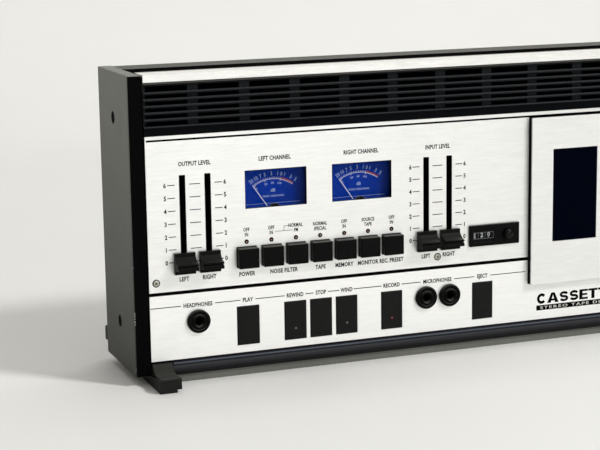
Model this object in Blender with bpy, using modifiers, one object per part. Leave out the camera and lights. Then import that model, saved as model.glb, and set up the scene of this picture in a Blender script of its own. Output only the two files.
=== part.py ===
"""An upright cassette deck, modelled as the separate parts that it is assembled from.

Units are metres and +Z is up. The front looks towards -Y, and the origin is the middle of the
footprint, on the surface that the deck stands on. Every moving part has its origin on its joint axis.
"""
import math

import bmesh
import bpy
from mathutils import Matrix, Vector

# ---------------------------------------------------------------- driving dimensions
WIDTH = 0.465                    # over the two side panels
SIDE_THICKNESS = 0.011
SIDE_DEPTH = 0.0864
SIDE_BOTTOM = 0.0072             # the side panels end above the table
TOP = 0.2400
FACE_Y = -0.03405                # front plane of the aluminium panels
GAP = 0.0003                     # running clearance between parts that touch

INNER_X = WIDTH / 2 - SIDE_THICKNESS
SHADOW_GAP = 0.0016              # dark joint between the face and the side panels
FACE_X = INNER_X - SHADOW_GAP
SHEET = 0.0015                   # thickness of the aluminium panels
STEEL = 0.0012

# heights of the bands of the face
BASE_PLATE_Z = 0.0060
KEY_PANEL_Z = (0.0185, 0.0701)
CONTROL_PANEL_Z = (0.0725, 0.1934)
GRILLE_Z = (0.1934, 0.2326)

# level sliders
SLOT_X = (-0.1915, -0.1712, 0.0127, 0.0331)
SLOT_NAMES = ("output_left", "output_right", "input_left", "input_right")
SLOT_WIDTH = 0.0046
SLOT_Z = (0.0879, 0.1627)
SLIDER_ZERO_Z = 0.0953
SLIDER_TRAVEL = 0.060
SLIDER_WIDTH = 0.0165

# meters
METER_X = (-0.1156, -0.0432)
METER_SIDES = ("left", "right")
METER_WINDOW = (0.0510, 0.0300)
METER_Z = 0.1475
METER_RIM = 0.0029               # the case and lens reach this far past the window
METER_SINK = 0.0084              # and this much more below it, for the needle's pivot
NEEDLE_PIVOT_Z = 0.1248
NEEDLE_LENGTH = 0.0293
NEEDLE_REST = math.radians(35)   # lean to the left with no signal

# push buttons
BUTTON_NAMES = ("power", "noise_filter", "radio_filter", "tape_type", "memory", "monitor", "record_preset")
BUTTON_X0 = -0.14060
BUTTON_PITCH = 0.02045
BUTTON_SIZE = (0.0164, 0.0158)
BUTTON_Z = 0.0944
BUTTON_PROUD = 0.0065
LAMP_HOLE_Z = 0.1067
LAMP_HOLE_RADIUS = 0.0014

# transport keys, by their left edge
KEY_LEFT = {"play": -0.1496, "rewind": -0.1102, "stop": -0.0884, "wind": -0.0664, "record": -0.0271,
            "eject": 0.0543}
KEY_SIZE = (0.0182, 0.0308)
KEY_Z = 0.0400
KEY_PROUD = 0.0008

# sockets
HEADPHONE_X = -0.1814
MICROPHONE_X = (0.0122, 0.0332)
SOCKET_Z = 0.0475
SOCKET_BORE = 0.00325
SOCKET_RIM = 0.00925

# tape counter
COUNTER_X = (0.0509, 0.0961)
COUNTER_Z = (0.0859, 0.1036)
COUNTER_WINDOW_X = (0.0540, 0.0728)
COUNTER_WHEEL_RADIUS = 0.0052
RESET_X = 0.0852
RESET_RADIUS = 0.0042

# cassette compartment
LID_X = (0.1057, 0.2165)
LID_Z = (0.0499, 0.1890)
LID_PROUD = 0.0055
LID_GAP = 0.0004                 # running joint around the lid
WINDOW_X = (0.1251, 0.1664)
WINDOW_Z = (0.0851, 0.1625)
HINGE_Y = FACE_Y - 0.0022
HINGE_Z = 0.1861
HINGE_X = (0.1100, 0.2115)
WELL_DEPTH = 0.0240
WALL = 0.0018
SPINDLE_X = 0.1449
SPINDLE_SPACING = 0.0425         # distance between a cassette's hubs
TAPE_MID_Z = 0.12405
CAPSTAN_X = 0.1741
CAPSTAN_OFFSET = 0.0334
CAPSTAN_RADIUS = 0.00125
FLYWHEEL_RADIUS = 0.0220
PULLEY_X = 0.2020
PULLEY_RADIUS = 0.0050
PINCH_X = 0.1859
PINCH_ARM = 0.0220
PINCH_RADIUS = 0.0055

# ---------------------------------------------------------------- scene and helpers
for old in list(bpy.data.objects):
    bpy.data.objects.remove(old)

PARTS = bpy.data.collections.new("cassette_deck")
CUTTERS = bpy.data.collections.new("cutters")
for group in (PARTS, CUTTERS):
    bpy.context.scene.collection.children.link(group)

AXIS_TURN = {
    "X": Matrix(((0, 0, 1), (1, 0, 0), (0, 1, 0))).to_4x4(),    # drawn in Y-Z, extruded along X
    "Y": Matrix(((1, 0, 0), (0, 0, -1), (0, 1, 0))).to_4x4(),   # drawn in X-Z, extruded along -Y
    "Z": Matrix.Identity(4),                                    # drawn in X-Y, extruded along Z
}


def paint(name, colour, roughness, metallic=0.0):
    made = bpy.data.materials.new(name)
    made.use_nodes = True
    shader = made.node_tree.nodes["Principled BSDF"]
    shader.inputs["Base Color"].default_value = (*colour, 1.0)
    shader.inputs["Roughness"].default_value = roughness
    shader.inputs["Metallic"].default_value = metallic
    return made


GREY_PAINT = paint("grey_paint", (0.16, 0.16, 0.145), 0.55)
BRUSHED = paint("brushed_aluminium", (0.80, 0.80, 0.78), 0.32, 1.0)
BLACK_PLASTIC = paint("black_plastic", (0.014, 0.014, 0.014), 0.45)
BLACK_STEEL = paint("black_steel", (0.02, 0.02, 0.022), 0.5, 0.3)
TRIM_BLACK = paint("trim_black", (0.03, 0.03, 0.036), 0.35)
SMOKED = paint("smoked_acrylic", (0.01, 0.014, 0.03), 0.08)
CLEAR = paint("clear_acrylic", (0.8, 0.85, 0.9), 0.05)
METER_BLUE = paint("meter_blue", (0.004, 0.02, 0.22), 0.5)
NEEDLE_WHITE = paint("needle_white", (0.8, 0.8, 0.8), 0.5)
RUBBER = paint("rubber", (0.02, 0.02, 0.02), 0.8)
STEEL_GREY = paint("bright_steel", (0.55, 0.55, 0.56), 0.3, 1.0)
BOARD = paint("board", (0.10, 0.06, 0.02), 0.6)


def behind(depth):
    """Y of a plane that lies this deep behind the face."""
    return FACE_Y + depth


def finish(obj, coat, group=PARTS):
    """Puts a new object in its collection, with its material or as a hidden cutter."""
    for old in list(obj.users_collection):
        old.objects.unlink(obj)
    group.objects.link(obj)
    if coat is None:
        obj.hide_render = True
        obj.display_type = "WIRE"
    else:
        obj.data.materials.clear()
        obj.data.materials.append(coat)
    return obj


def mesh_object(name, bm, coat, at):
    """An object at a point, from a bmesh in world coordinates."""
    bmesh.ops.translate(bm, verts=bm.verts, vec=-Vector(at))
    data = bpy.data.meshes.new(name)
    bm.to_mesh(data)
    bm.free()
    obj = bpy.data.objects.new(name, data)
    obj.location = at
    return finish(obj, coat, PARTS if coat else CUTTERS)


def add_block(bm, low, high):
    size = Vector(high) - Vector(low)
    middle = (Vector(high) + Vector(low)) / 2
    place = Matrix.Translation(middle) @ Matrix.Diagonal((*size, 1.0))
    bmesh.ops.create_cube(bm, size=1.0, matrix=place)


def add_drum(bm, centre, axis, radius, length, sides):
    turn = {"X": Matrix.Rotation(math.pi / 2, 4, "Y"), "Y": Matrix.Rotation(math.pi / 2, 4, "X"),
            "Z": Matrix.Identity(4)}[axis]
    bmesh.ops.create_cone(bm, cap_ends=True, segments=sides, radius1=radius, radius2=radius, depth=length,
                          matrix=Matrix.Translation(centre) @ turn)


def blocks(name, boxes, coat=None, at=(0, 0, 0)):
    """One object of separate blocks, each given by its lowest and highest corner."""
    bm = bmesh.new()
    for low, high in boxes:
        add_block(bm, low, high)
    return mesh_object(name, bm, coat, at)


def block(name, low, high, coat=None, at=None):
    return blocks(name, [(low, high)], coat, (Vector(low) + Vector(high)) / 2 if at is None else at)


def drums(name, centres, axis, radius, length, coat=None, at=(0, 0, 0), sides=24):
    """One object of separate equal cylinders."""
    bm = bmesh.new()
    for centre in centres:
        add_drum(bm, centre, axis, radius, length, sides)
    return mesh_object(name, bm, coat, at)


def drum(name, centre, axis, radius, length, coat=None, at=None, sides=24):
    made = drums(name, [centre], axis, radius, length, coat, centre if at is None else at, sides)
    made.data.shade_smooth()
    made.data.set_sharp_from_angle(angle=math.radians(35))
    return made


def prism(name, outlines, axis, start, stop, coat=None, at=(0, 0, 0)):
    """A flat outline, with any holes, drawn across an axis and extruded along it.

    It is made a mesh, so that it can be cut and joined.
    """
    drawing = bpy.data.curves.new(name, "CURVE")
    drawing.dimensions = "2D"
    drawing.fill_mode = "BOTH"
    drawing.extrude = abs(stop - start) / 2
    for outline in outlines:
        spline = drawing.splines.new("POLY")
        spline.points.add(len(outline) - 1)
        for point, (u, v) in zip(spline.points, outline):
            point.co = (u, v, 0.0, 1.0)
        spline.use_cyclic_u = True
    sketch = bpy.data.objects.new(name + "_sketch", drawing)
    PARTS.objects.link(sketch)
    middle = (start + stop) / 2
    along = {"X": (middle, 0, 0), "Y": (0, middle, 0), "Z": (0, 0, middle)}[axis]
    sketch.matrix_world = Matrix.Translation(along) @ AXIS_TURN[axis]
    bpy.context.view_layer.update()
    solid = bpy.data.meshes.new_from_object(sketch.evaluated_get(bpy.context.evaluated_depsgraph_get()))
    bm = bmesh.new()
    bm.from_mesh(solid)
    bmesh.ops.remove_doubles(bm, verts=bm.verts, dist=0.00001)
    bmesh.ops.transform(bm, matrix=sketch.matrix_world, verts=bm.verts)
    bmesh.ops.recalc_face_normals(bm, faces=bm.faces)
    bpy.data.objects.remove(sketch)
    bpy.data.meshes.remove(solid)
    return mesh_object(name, bm, coat, at)


def combine(target, other, operation):
    step = target.modifiers.new(operation.lower(), "BOOLEAN")
    step.operation = operation
    step.solver = "EXACT"
    step.object = other


def cut(target, *cutters):
    for cutter in cutters:
        combine(target, cutter, "DIFFERENCE")
    return target


def join(target, *pieces):
    for piece in pieces:
        combine(target, piece, "UNION")
    return target


def soften(obj, width, segments=1):
    """Rounds the edges of a plain solid. It comes before any cut or join."""
    edge = obj.modifiers.new("bevel", "BEVEL")
    edge.width = width
    edge.segments = segments
    edge.limit_method = "ANGLE"
    edge.angle_limit = math.radians(40)
    return obj


def arc(centre, radius, start, stop, steps):
    """Points on an arc, with the angles in degrees."""
    turns = [math.radians(start + (stop - start) * i / steps) for i in range(steps + 1)]
    return [(centre[0] + radius * math.cos(t), centre[1] + radius * math.sin(t)) for t in turns]


def button_x(index):
    return BUTTON_X0 + BUTTON_PITCH * index


def sided(x):
    """-1 for the left side and +1 for the right side."""
    return -1 if x < 0 else 1


# ---------------------------------------------------------------- the case
def side_panel(name, side):
    """A painted board with two blind screw holes in its outer face."""
    inner, outer = side * INNER_X, side * WIDTH / 2
    panel = block(name, (min(inner, outer), FACE_Y, SIDE_BOTTOM),
                  (max(inner, outer), behind(SIDE_DEPTH), TOP), GREY_PAINT)
    soften(panel, 0.0006)
    holes = [(outer, behind(0.0435), z) for z in (0.0429, 0.2043)]
    return cut(panel, drums(name + "_holes", holes, "X", 0.0048, 0.016))


def bottom_trim():
    """The dark rail under the key panel: a small bead over a bulging face and a receding lower face."""
    top = KEY_PANEL_Z[0] - 0.0008
    bead = arc((behind(-0.0002), top - 0.0018), 0.0018, 90, 190, 5)
    belly = arc((behind(0.0062), 0.0110), 0.0088, 155, 205, 5)
    profile = [(behind(0.0022), top)] + bead + belly + [(behind(0.0004), 0.0062), (behind(0.0005), 0.0060)]
    profile += [(behind(0.0005), top - 0.0060), (behind(0.0022), top - 0.0060)]
    reach = FACE_X - 0.0170
    return prism("bottom_trim", [profile], "X", -reach, reach, TRIM_BLACK)


def base_plate():
    """A folded steel tray whose front and rear edges turn down to the table."""
    front, back, reach = behind(0.0008), behind(SIDE_DEPTH - 0.0003), FACE_X - 0.0020
    top = BASE_PLATE_Z + STEEL
    profile = [(front, 0.0), (front + STEEL, 0.0), (front + STEEL, BASE_PLATE_Z), (back - STEEL, BASE_PLATE_Z),
               (back - STEEL, 0.0), (back, 0.0), (back, top), (front, top)]
    return prism("base_plate", [profile], "X", -reach, reach, GREY_PAINT)


def rear_cover():
    """A folded steel sheet: the recessed ledge behind the top trim, the top and the back wall."""
    ledge, step, back, top = behind(0.0246), behind(0.0560), behind(SIDE_DEPTH), TOP - 0.0005
    low = TOP - 0.0052
    foot = BASE_PLATE_Z + STEEL + 0.0006
    profile = [(ledge, low), (step + STEEL, low), (step + STEEL, top - STEEL), (back - STEEL, top - STEEL),
               (back - STEEL, foot), (back, foot), (back, top), (step, top), (step, low + STEEL),
               (ledge, low + STEEL)]
    reach = INNER_X - 0.0006
    return prism("rear_cover", [profile], "X", -reach, reach, GREY_PAINT)


def top_trim():
    """The bright rail along the top front edge, with a grey lip under a dark joint."""
    face, top = FACE_Y, TOP
    profile = [(face, top), (face, top - 0.0055), (face + 0.0010, top - 0.0055), (face + 0.0010, top - 0.0061),
               (face + 0.0002, top - 0.0061), (face + 0.0002, top - 0.0072), (face + 0.0024, top - 0.0072),
               (face + 0.0024, top - 0.0018), (behind(0.0240), top - 0.0018), (behind(0.0240), top)]
    return prism("top_trim", [profile], "X", -FACE_X, FACE_X, BRUSHED)


def vent_grille():
    """A black moulding: five louvres with bevelled edges in front of upright ribs, over a plain band."""
    low, high = GRILLE_Z[0] + GAP, GRILLE_Z[1] - GAP
    front, slat_back = behind(0.0002), behind(0.0034)
    grille = block("vent_grille", (-FACE_X, front, low), (FACE_X, behind(0.0085), high), BLACK_PLASTIC)
    pitch, slat, band_top, bevel, slack = 0.0051, 0.0020, 0.2007, 0.0007, 0.0002
    feet = [band_top - slat] + [band_top + 0.0037 + pitch * i for i in range(5)]
    gaps = [(foot + slat, above) for foot, above in zip(feet, feet[1:])] + [(feet[-1] + slat, high + 0.001)]
    channels = [((-FACE_X - 0.001, behind(-0.001), a), (FACE_X + 0.001, slat_back, b)) for a, b in gaps]
    rib_pitch, rib_width, rib_first = 0.0414, 0.0085, -0.2217
    end = FACE_X - 0.0022
    holes = []
    for i in range(11):
        left = max(rib_first + rib_pitch * i + rib_width / 2, -end)
        right = min(rib_first + rib_pitch * (i + 1) - rib_width / 2, end)
        if right - left > 0.004:
            holes += [((left, behind(0.0030), a), (right, behind(0.0100), min(b, high - 0.0012))) for a, b in gaps]
    wedges = []
    for foot in feet:
        for edge, way in ((foot, 1), (foot + slat, -1)):
            if foot == feet[0] and way == 1:
                continue
            wedges.append([(front - slack, edge + way * (bevel + slack)), (front - slack, edge - way * slack),
                           (front + bevel + slack, edge - way * slack)])
    step = ((-FACE_X - 0.001, behind(-0.001), low - 0.001), (FACE_X + 0.001, front + 0.0006, feet[0]))
    reach = FACE_X + 0.001
    cut(grille, blocks("grille_channels", channels), blocks("grille_holes", holes))
    return cut(grille, prism("grille_bevels", wedges, "X", -reach, reach), block("grille_step", *step))


def window_boxes(margin, front, back):
    """Cutting blocks for the openings that the plates behind one another share."""
    boxes = []
    for x in METER_X:
        half_x, half_z = METER_WINDOW[0] / 2 + margin, METER_WINDOW[1] / 2 + margin
        boxes.append(((x - half_x, front, METER_Z - half_z), (x + half_x, back, METER_Z + half_z)))
    return boxes


def control_panel():
    """The upper aluminium panel with its slots, meter windows, lamp holes and button openings."""
    front, back = behind(-0.001), behind(0.003)
    panel = block("control_panel", (-FACE_X, FACE_Y, CONTROL_PANEL_Z[0]),
                  (FACE_X, behind(SHEET), CONTROL_PANEL_Z[1]), BRUSHED)
    slots = [((x - SLOT_WIDTH / 2, front, SLOT_Z[0]), (x + SLOT_WIDTH / 2, back, SLOT_Z[1])) for x in SLOT_X]
    openings = []
    for i in range(len(BUTTON_NAMES)):
        half = BUTTON_SIZE[0] / 2 + GAP
        openings.append(((button_x(i) - half, front, BUTTON_Z - BUTTON_SIZE[1] / 2 - GAP),
                         (button_x(i) + half, back, BUTTON_Z + BUTTON_SIZE[1] / 2 + 0.0008)))
    counter = ((COUNTER_X[0] + 0.0012, front, COUNTER_Z[0] + 0.0014),
               (COUNTER_X[1] - 0.0012, back, COUNTER_Z[1] - 0.0014))
    lid = ((LID_X[0] - LID_GAP, front, CONTROL_PANEL_Z[0] - 0.01), (LID_X[1] + LID_GAP, back, LID_Z[1] + LID_GAP))
    lamps = drums("lamp_holes", [(button_x(i), FACE_Y, LAMP_HOLE_Z) for i in range(len(BUTTON_NAMES))],
                  "Y", LAMP_HOLE_RADIUS, 0.006, sides=12)
    square = blocks("control_openings", slots + openings + [counter, lid] + window_boxes(0, front, back))
    return cut(panel, square, lamps)


def key_boxes(margin, front, back):
    boxes = []
    for left in KEY_LEFT.values():
        boxes.append(((left - margin, front, KEY_Z - KEY_SIZE[1] / 2 - margin),
                      (left + KEY_SIZE[0] + margin, back, KEY_Z + KEY_SIZE[1] / 2 + margin)))
    return boxes


def key_panel():
    """The lower aluminium panel, with the key and socket openings and a notch under the lid."""
    front, back = behind(-0.001), behind(0.003)
    panel = block("key_panel", (-FACE_X, FACE_Y, KEY_PANEL_Z[0]), (FACE_X, behind(SHEET), KEY_PANEL_Z[1]), BRUSHED)
    notch = ((LID_X[0] - LID_GAP, front, LID_Z[0] - LID_GAP), (LID_X[1] + LID_GAP, back, 0.08))
    centres = [(x, FACE_Y, SOCKET_Z) for x in (HEADPHONE_X, *MICROPHONE_X)]
    return cut(panel, blocks("key_openings", key_boxes(GAP, front, back) + [notch]),
               drums("socket_holes", centres, "Y", 0.0062, 0.006))


def front_frame():
    """The black steel plate that carries the panels, folded back along both side panels."""
    front, plate, fold = behind(0.0022), behind(0.0022 + STEEL), behind(0.0140)
    outer, inner = INNER_X - 0.0004, INNER_X - 0.0004 - STEEL
    plan = [(-outer, front), (outer, front), (outer, fold), (inner, fold), (inner, plate), (-inner, plate),
            (-inner, fold), (-outer, fold)]
    frame = prism("front_frame", [plan], "Z", KEY_PANEL_Z[0], CONTROL_PANEL_Z[1] - GAP, BLACK_STEEL)
    near, far = behind(0.001), behind(0.006)
    boxes = []
    for left, right in ((SLOT_X[0], SLOT_X[1]), (SLOT_X[2], SLOT_X[3])):
        boxes.append(((left - 0.0030, near, SLOT_Z[0] - 0.0015), (right + 0.0030, far, SLOT_Z[1] + 0.0015)))
    for x in METER_X:
        half = METER_WINDOW[0] / 2 + METER_RIM + 0.0008
        boxes.append(((x - half, near, METER_Z - METER_WINDOW[1] / 2 - METER_RIM - METER_SINK - 0.0008),
                      (x + half, far, METER_Z + METER_WINDOW[1] / 2 + METER_RIM + 0.0008)))
    last = len(BUTTON_NAMES) - 1
    boxes.append(((button_x(0) - 0.0100, near, BUTTON_Z - 0.0090), (button_x(last) + 0.0100, far, 0.1100)))
    boxes.append(((COUNTER_X[0] + 0.0006, near, COUNTER_Z[0] + 0.0006),
                  (COUNTER_X[1] - 0.0006, far, COUNTER_Z[1] - 0.0006)))
    boxes.append(((LID_X[0] + 0.0002, near, LID_Z[0] + 0.0002), (LID_X[1] - 0.0002, far, LID_Z[1] - GAP)))
    key_low, key_high = KEY_Z - KEY_SIZE[1] / 2 - 0.0012, KEY_Z + KEY_SIZE[1] / 2 + 0.0012
    runs = (("play", "play"), ("rewind", "wind"), ("record", "record"), ("eject", "eject"))
    for first, final in runs:
        boxes.append(((KEY_LEFT[first] - 0.0012, near, key_low),
                      (KEY_LEFT[final] + KEY_SIZE[0] + 0.0012, far, key_high)))
    for low, high in ((HEADPHONE_X, HEADPHONE_X), MICROPHONE_X):
        boxes.append(((low - 0.0085, near, SOCKET_Z - 0.0085), (high + 0.0085, far, SOCKET_Z + 0.0085)))
    return cut(frame, blocks("frame_openings", boxes))


def front_foot(name, side):
    """A moulded toe that reaches out in front of the trim, with a web that runs back beside the base."""
    scoop = [(behind(0.0004), 0.0168), (behind(-0.0022), 0.0167), (behind(-0.0036), 0.0151),
             (behind(-0.0060), 0.0125), (behind(-0.0090), 0.0109), (behind(-0.0130), 0.0101),
             (behind(-0.0200), 0.0104), (behind(-0.0258), 0.0112), (behind(-0.0266), 0.0104),
             (behind(-0.0266), 0.0), (behind(0.0004), 0.0)]
    outer, inner = FACE_X - 0.0001, FACE_X - 0.0160
    toe = prism(name, [scoop], "X", side * outer, side * inner, BLACK_PLASTIC)
    web_line = [(behind(-0.0266), 0.0), (behind(0.0240), 0.0), (behind(0.0240), 0.0074),
                (behind(0.0050), 0.0076), (behind(-0.0080), 0.0085), (behind(-0.0250), 0.0104),
                (behind(-0.0266), 0.0100)]
    web_outer, web_inner = INNER_X - 0.0005, FACE_X - 0.0014
    web = prism(name + "_web", [web_line], "X", side * web_outer, side * web_inner)
    relief = block(name + "_relief", (min(side * inner, side * (inner + 0.0032)) - 0.0005, behind(-0.030), -0.001),
                   (max(side * inner, side * (inner + 0.0032)) + 0.0005, behind(-0.012), 0.0024))
    return cut(join(toe, web), relief)


def back_foot(name, x, z):
    """A rubber block on the back, to lay the deck down on."""
    near = behind(SIDE_DEPTH + GAP)
    stud = block(name, (x - 0.0053, near, z - 0.0059), (x + 0.0053, near + 0.0080, z + 0.0059), RUBBER)
    return soften(stud, 0.0008)


# ---------------------------------------------------------------- meters
def meter(side, x):
    """The case with its pocket, the needle and the lens of one level meter."""
    half = METER_WINDOW[0] / 2 + METER_RIM
    low = METER_Z - METER_WINDOW[1] / 2 - METER_RIM - METER_SINK
    high = METER_Z + METER_WINDOW[1] / 2 + METER_RIM
    wall = 0.0014
    case = block("meter_case_" + side, (x - half, behind(0.0034), low), (x + half, behind(0.0280), high), METER_BLUE)
    cut(case, block("meter_pocket_" + side, (x - half + wall, behind(0.002), low + wall),
                    (x + half - wall, behind(0.0076), high - wall)))
    block("meter_lens_" + side, (x - half, behind(0.0018), low), (x + half, behind(0.0031), high), CLEAR)
    pivot = (x, behind(0.0056), NEEDLE_PIVOT_Z)
    needle = drum("meter_needle_" + side, pivot, "Y", 0.0018, 0.0008, NEEDLE_WHITE)
    blade = block("needle_blade_" + side, (x - 0.00022, behind(0.0054), NEEDLE_PIVOT_Z),
                  (x + 0.00022, behind(0.0058), NEEDLE_PIVOT_Z + NEEDLE_LENGTH), at=pivot)
    blade.rotation_euler = (0, -NEEDLE_REST, 0)
    return join(needle, blade)


# ---------------------------------------------------------------- controls
def push_button(index, name):
    """A square cap with softened edges on a guide stem."""
    x, (wide, tall) = button_x(index), BUTTON_SIZE
    cap = block(name + "_button", (x - wide / 2, behind(-BUTTON_PROUD), BUTTON_Z - tall / 2),
                (x + wide / 2, behind(0.0060), BUTTON_Z + tall / 2), BLACK_PLASTIC)
    soften(cap, 0.0004)
    stem = block(name + "_stem", (x - 0.0025, behind(0.0055), BUTTON_Z - 0.0025),
                 (x + 0.0025, behind(0.0120), BUTTON_Z + 0.0025))
    return join(cap, stem)


def transport_key(name, left):
    """A tall, almost flush key on a guide stem."""
    wide, tall = KEY_SIZE
    cap = block(name + "_key", (left, behind(-KEY_PROUD), KEY_Z - tall / 2),
                (left + wide, behind(0.0050), KEY_Z + tall / 2), BLACK_PLASTIC)
    soften(cap, 0.0005)
    x = left + wide / 2
    stem = block(name + "_key_stem", (x - 0.0030, behind(0.0045), KEY_Z - 0.0030),
                 (x + 0.0030, behind(0.0140), KEY_Z + 0.0030))
    return join(cap, stem)


def slider_knob(name, x):
    """A knob with a forked nose under a flat back plate, and the blade that goes through the slot."""
    y, z = FACE_Y, SLIDER_ZERO_Z
    scoop = arc((y - 0.0122, z + 0.0097), 0.0101, -32, -88, 5)
    profile = [(y - 0.0006, z + 0.0073), (y - 0.0036, z + 0.0073)] + scoop
    profile += [(y - 0.0118, z - 0.0014), (y - 0.0100, z - 0.0024), (y - 0.0119, z - 0.0034),
                (y - 0.0119, z - 0.0056), (y - 0.0042, z - 0.0060), (y - 0.0036, z - 0.0093),
                (y - 0.0006, z - 0.0093)]
    at = (x, y, z)
    knob = prism(name, [profile], "X", x - SLIDER_WIDTH / 2, x + SLIDER_WIDTH / 2, BLACK_PLASTIC, at)
    blade = block(name + "_blade", (x - 0.0012, behind(-0.0010), z - 0.0025), (x + 0.0012, behind(0.0120), z + 0.0025))
    return join(knob, blade)


def jack(name, centres, body_low, body_high):
    """One or more sockets with round rims in front of a common body."""
    front = [(x, behind(-0.0010 - GAP), SOCKET_Z) for x in centres]
    barrel = [(x, behind(0.0020), SOCKET_Z) for x in centres]
    bore = [(x, behind(0.0110), SOCKET_Z) for x in centres]
    body = block(name, (body_low, behind(0.0050), SOCKET_Z - 0.0075), (body_high, behind(0.0270), SOCKET_Z + 0.0075),
                 BLACK_PLASTIC)
    rims = drums(name + "_rims", front, "Y", SOCKET_RIM, 0.0020, sides=32)
    barrels = drums(name + "_barrels", barrel, "Y", 0.0058, 0.0070, sides=24)
    bores = drums(name + "_bores", bore, "Y", SOCKET_BORE, 0.0290, sides=20)
    return cut(join(body, barrels, rims), bores)


def tape_counter():
    """The bezel and housing, the digit wheels on their shaft and the reset button."""
    z = sum(COUNTER_Z) / 2
    body = block("counter_body", (COUNTER_X[0], behind(-0.0022), COUNTER_Z[0]), (COUNTER_X[1], behind(-GAP), COUNTER_Z[1]),
                 BLACK_PLASTIC)
    soften(body, 0.0004)
    housing = block("counter_housing", (COUNTER_X[0] + 0.0016, behind(-0.0008), COUNTER_Z[0] + 0.0018),
                    (COUNTER_X[1] - 0.0016, behind(0.0200), COUNTER_Z[1] - 0.0018))
    wheel_y = behind(0.0066)
    window = block("counter_window", (COUNTER_WINDOW_X[0], behind(-0.004), z - COUNTER_WHEEL_RADIUS - 0.0004),
                   (COUNTER_WINDOW_X[1], behind(0.0124), z + COUNTER_WHEEL_RADIUS + 0.0004))
    middle = sum(COUNTER_WINDOW_X) / 2
    length = COUNTER_WINDOW_X[1] - COUNTER_WINDOW_X[0]
    bearing = drum("counter_bearing", (middle, wheel_y, z), "X", 0.0014, length + 0.0020, sides=16)
    well = drum("reset_well", (RESET_X, behind(0.0060), z), "Y", RESET_RADIUS + GAP, 0.0200)
    cut(join(body, housing), window, bearing, well)
    wheels = drum("counter_wheels", (middle, wheel_y, z), "X", COUNTER_WHEEL_RADIUS, length - 0.0010, BLACK_PLASTIC,
                  sides=30)
    join(wheels, drum("counter_shaft", (middle, wheel_y, z), "X", 0.0010, length + 0.0012, sides=16))
    reset = drum("counter_reset_button", (RESET_X, behind(0.0020), z), "Y", RESET_RADIUS, 0.0150, BLACK_PLASTIC)
    return soften(reset, 0.0010, 2)


# ---------------------------------------------------------------- cassette compartment
def lid():
    """The black frame with its hinge pins, the aluminium plate and the smoked window of the lid."""
    hinge = (sum(LID_X) / 2, HINGE_Y, HINGE_Z)
    front, back = behind(-LID_PROUD), behind(-LID_PROUD + SHEET)
    plate = block("lid_plate", (LID_X[0], front, LID_Z[0]), (LID_X[1], back, LID_Z[1]), BRUSHED, hinge)
    cut(plate, block("lid_plate_window", (WINDOW_X[0], front - 0.001, WINDOW_Z[0]), (WINDOW_X[1], back + 0.001, WINDOW_Z[1])))
    block("lid_window", (WINDOW_X[0] + GAP, front + GAP, WINDOW_Z[0] + GAP), (WINDOW_X[1] - GAP, back, WINDOW_Z[1] - GAP),
          SMOKED, hinge)
    web, rear = back + GAP, behind(-0.0014)
    frame = block("lid_frame", (LID_X[0] + 0.0006, web, LID_Z[0] + 0.0006), (LID_X[1] - 0.0006, rear, LID_Z[1] - 0.0008),
                  BLACK_PLASTIC, hinge)
    hollow = block("lid_hollow", (LID_X[0] + 0.0031, web + 0.0014, LID_Z[0] + 0.0031), (LID_X[1] - 0.0031, rear + 0.001, 0.1798))
    view = block("lid_view", (WINDOW_X[0] + 0.0015, web - 0.001, WINDOW_Z[0] + 0.0015),
                 (WINDOW_X[1] - 0.0015, rear + 0.001, WINDOW_Z[1] - 0.0015))
    notches = blocks("hinge_notches", [((x - 0.0026, web - 0.001, HINGE_Z - 0.0049), (x + 0.0026, rear + 0.001, LID_Z[1] + 0.001))
                                       for x in HINGE_X])
    cut(frame, hollow, view, notches)
    pins = [drum("hinge_pin_%d" % i, (x, HINGE_Y, HINGE_Z), "X", 0.0009, 0.0070, sides=12) for i, x in enumerate(HINGE_X)]
    hook_x = sum(LID_X) / 2
    hook = block("lid_hook", (hook_x - 0.0030, web, LID_Z[0] + 0.0012), (hook_x + 0.0030, behind(0.0030), LID_Z[0] + 0.0046))
    return join(frame, *pins, hook)


def cassette_well():
    """The tray that a cassette lies in, with the two brackets of the lid's hinge."""
    low_x, high_x, low_z, high_z = LID_X[0] + 0.0008, LID_X[1] - 0.0008, LID_Z[0] + 0.0008, LID_Z[1] - 0.0008
    rim, floor = behind(0.0002), behind(WELL_DEPTH)
    well = block("cassette_well", (low_x, rim, low_z), (high_x, floor, high_z), BLACK_PLASTIC)
    inside = block("well_inside", (low_x + WALL, rim - 0.001, low_z + WALL), (high_x - WALL, floor - WALL, high_z - WALL))
    latch = block("latch_gap", (sum(LID_X) / 2 - 0.0040, rim - 0.001, low_z - 0.001), (sum(LID_X) / 2 + 0.0040, behind(0.0045), low_z + WALL + 0.0020))
    cut(well, inside, latch)
    y = floor - WALL / 2
    cut(well, drums("spindle_holes", [(SPINDLE_X, y, TAPE_MID_Z + s * SPINDLE_SPACING / 2) for s in (-1, 1)],
                    "Y", 0.0031, 0.006, sides=20))
    cut(well, drums("capstan_holes", [(CAPSTAN_X, y, TAPE_MID_Z + s * CAPSTAN_OFFSET) for s in (-1, 1)],
                    "Y", 0.0024, 0.006, sides=16))
    cut(well, drums("pinch_holes", [(PINCH_X, y, TAPE_MID_Z + s * (CAPSTAN_OFFSET + PINCH_ARM)) for s in (-1, 1)],
                    "Y", 0.0027, 0.006, sides=16))
    bars = blocks("hinge_bars", [((x - 0.0015, HINGE_Y, HINGE_Z - 0.0015), (x + 0.0015, behind(0.0030), HINGE_Z + 0.0015))
                                 for x in HINGE_X])
    barrels = drums("hinge_barrels", [(x, HINGE_Y, HINGE_Z) for x in HINGE_X], "X", 0.0016, 0.0030, sides=16)
    holes = drums("hinge_holes", [(x, HINGE_Y, HINGE_Z) for x in HINGE_X], "X", 0.00115, 0.0050, sides=12)
    return cut(join(well, bars, barrels), holes)


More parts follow.
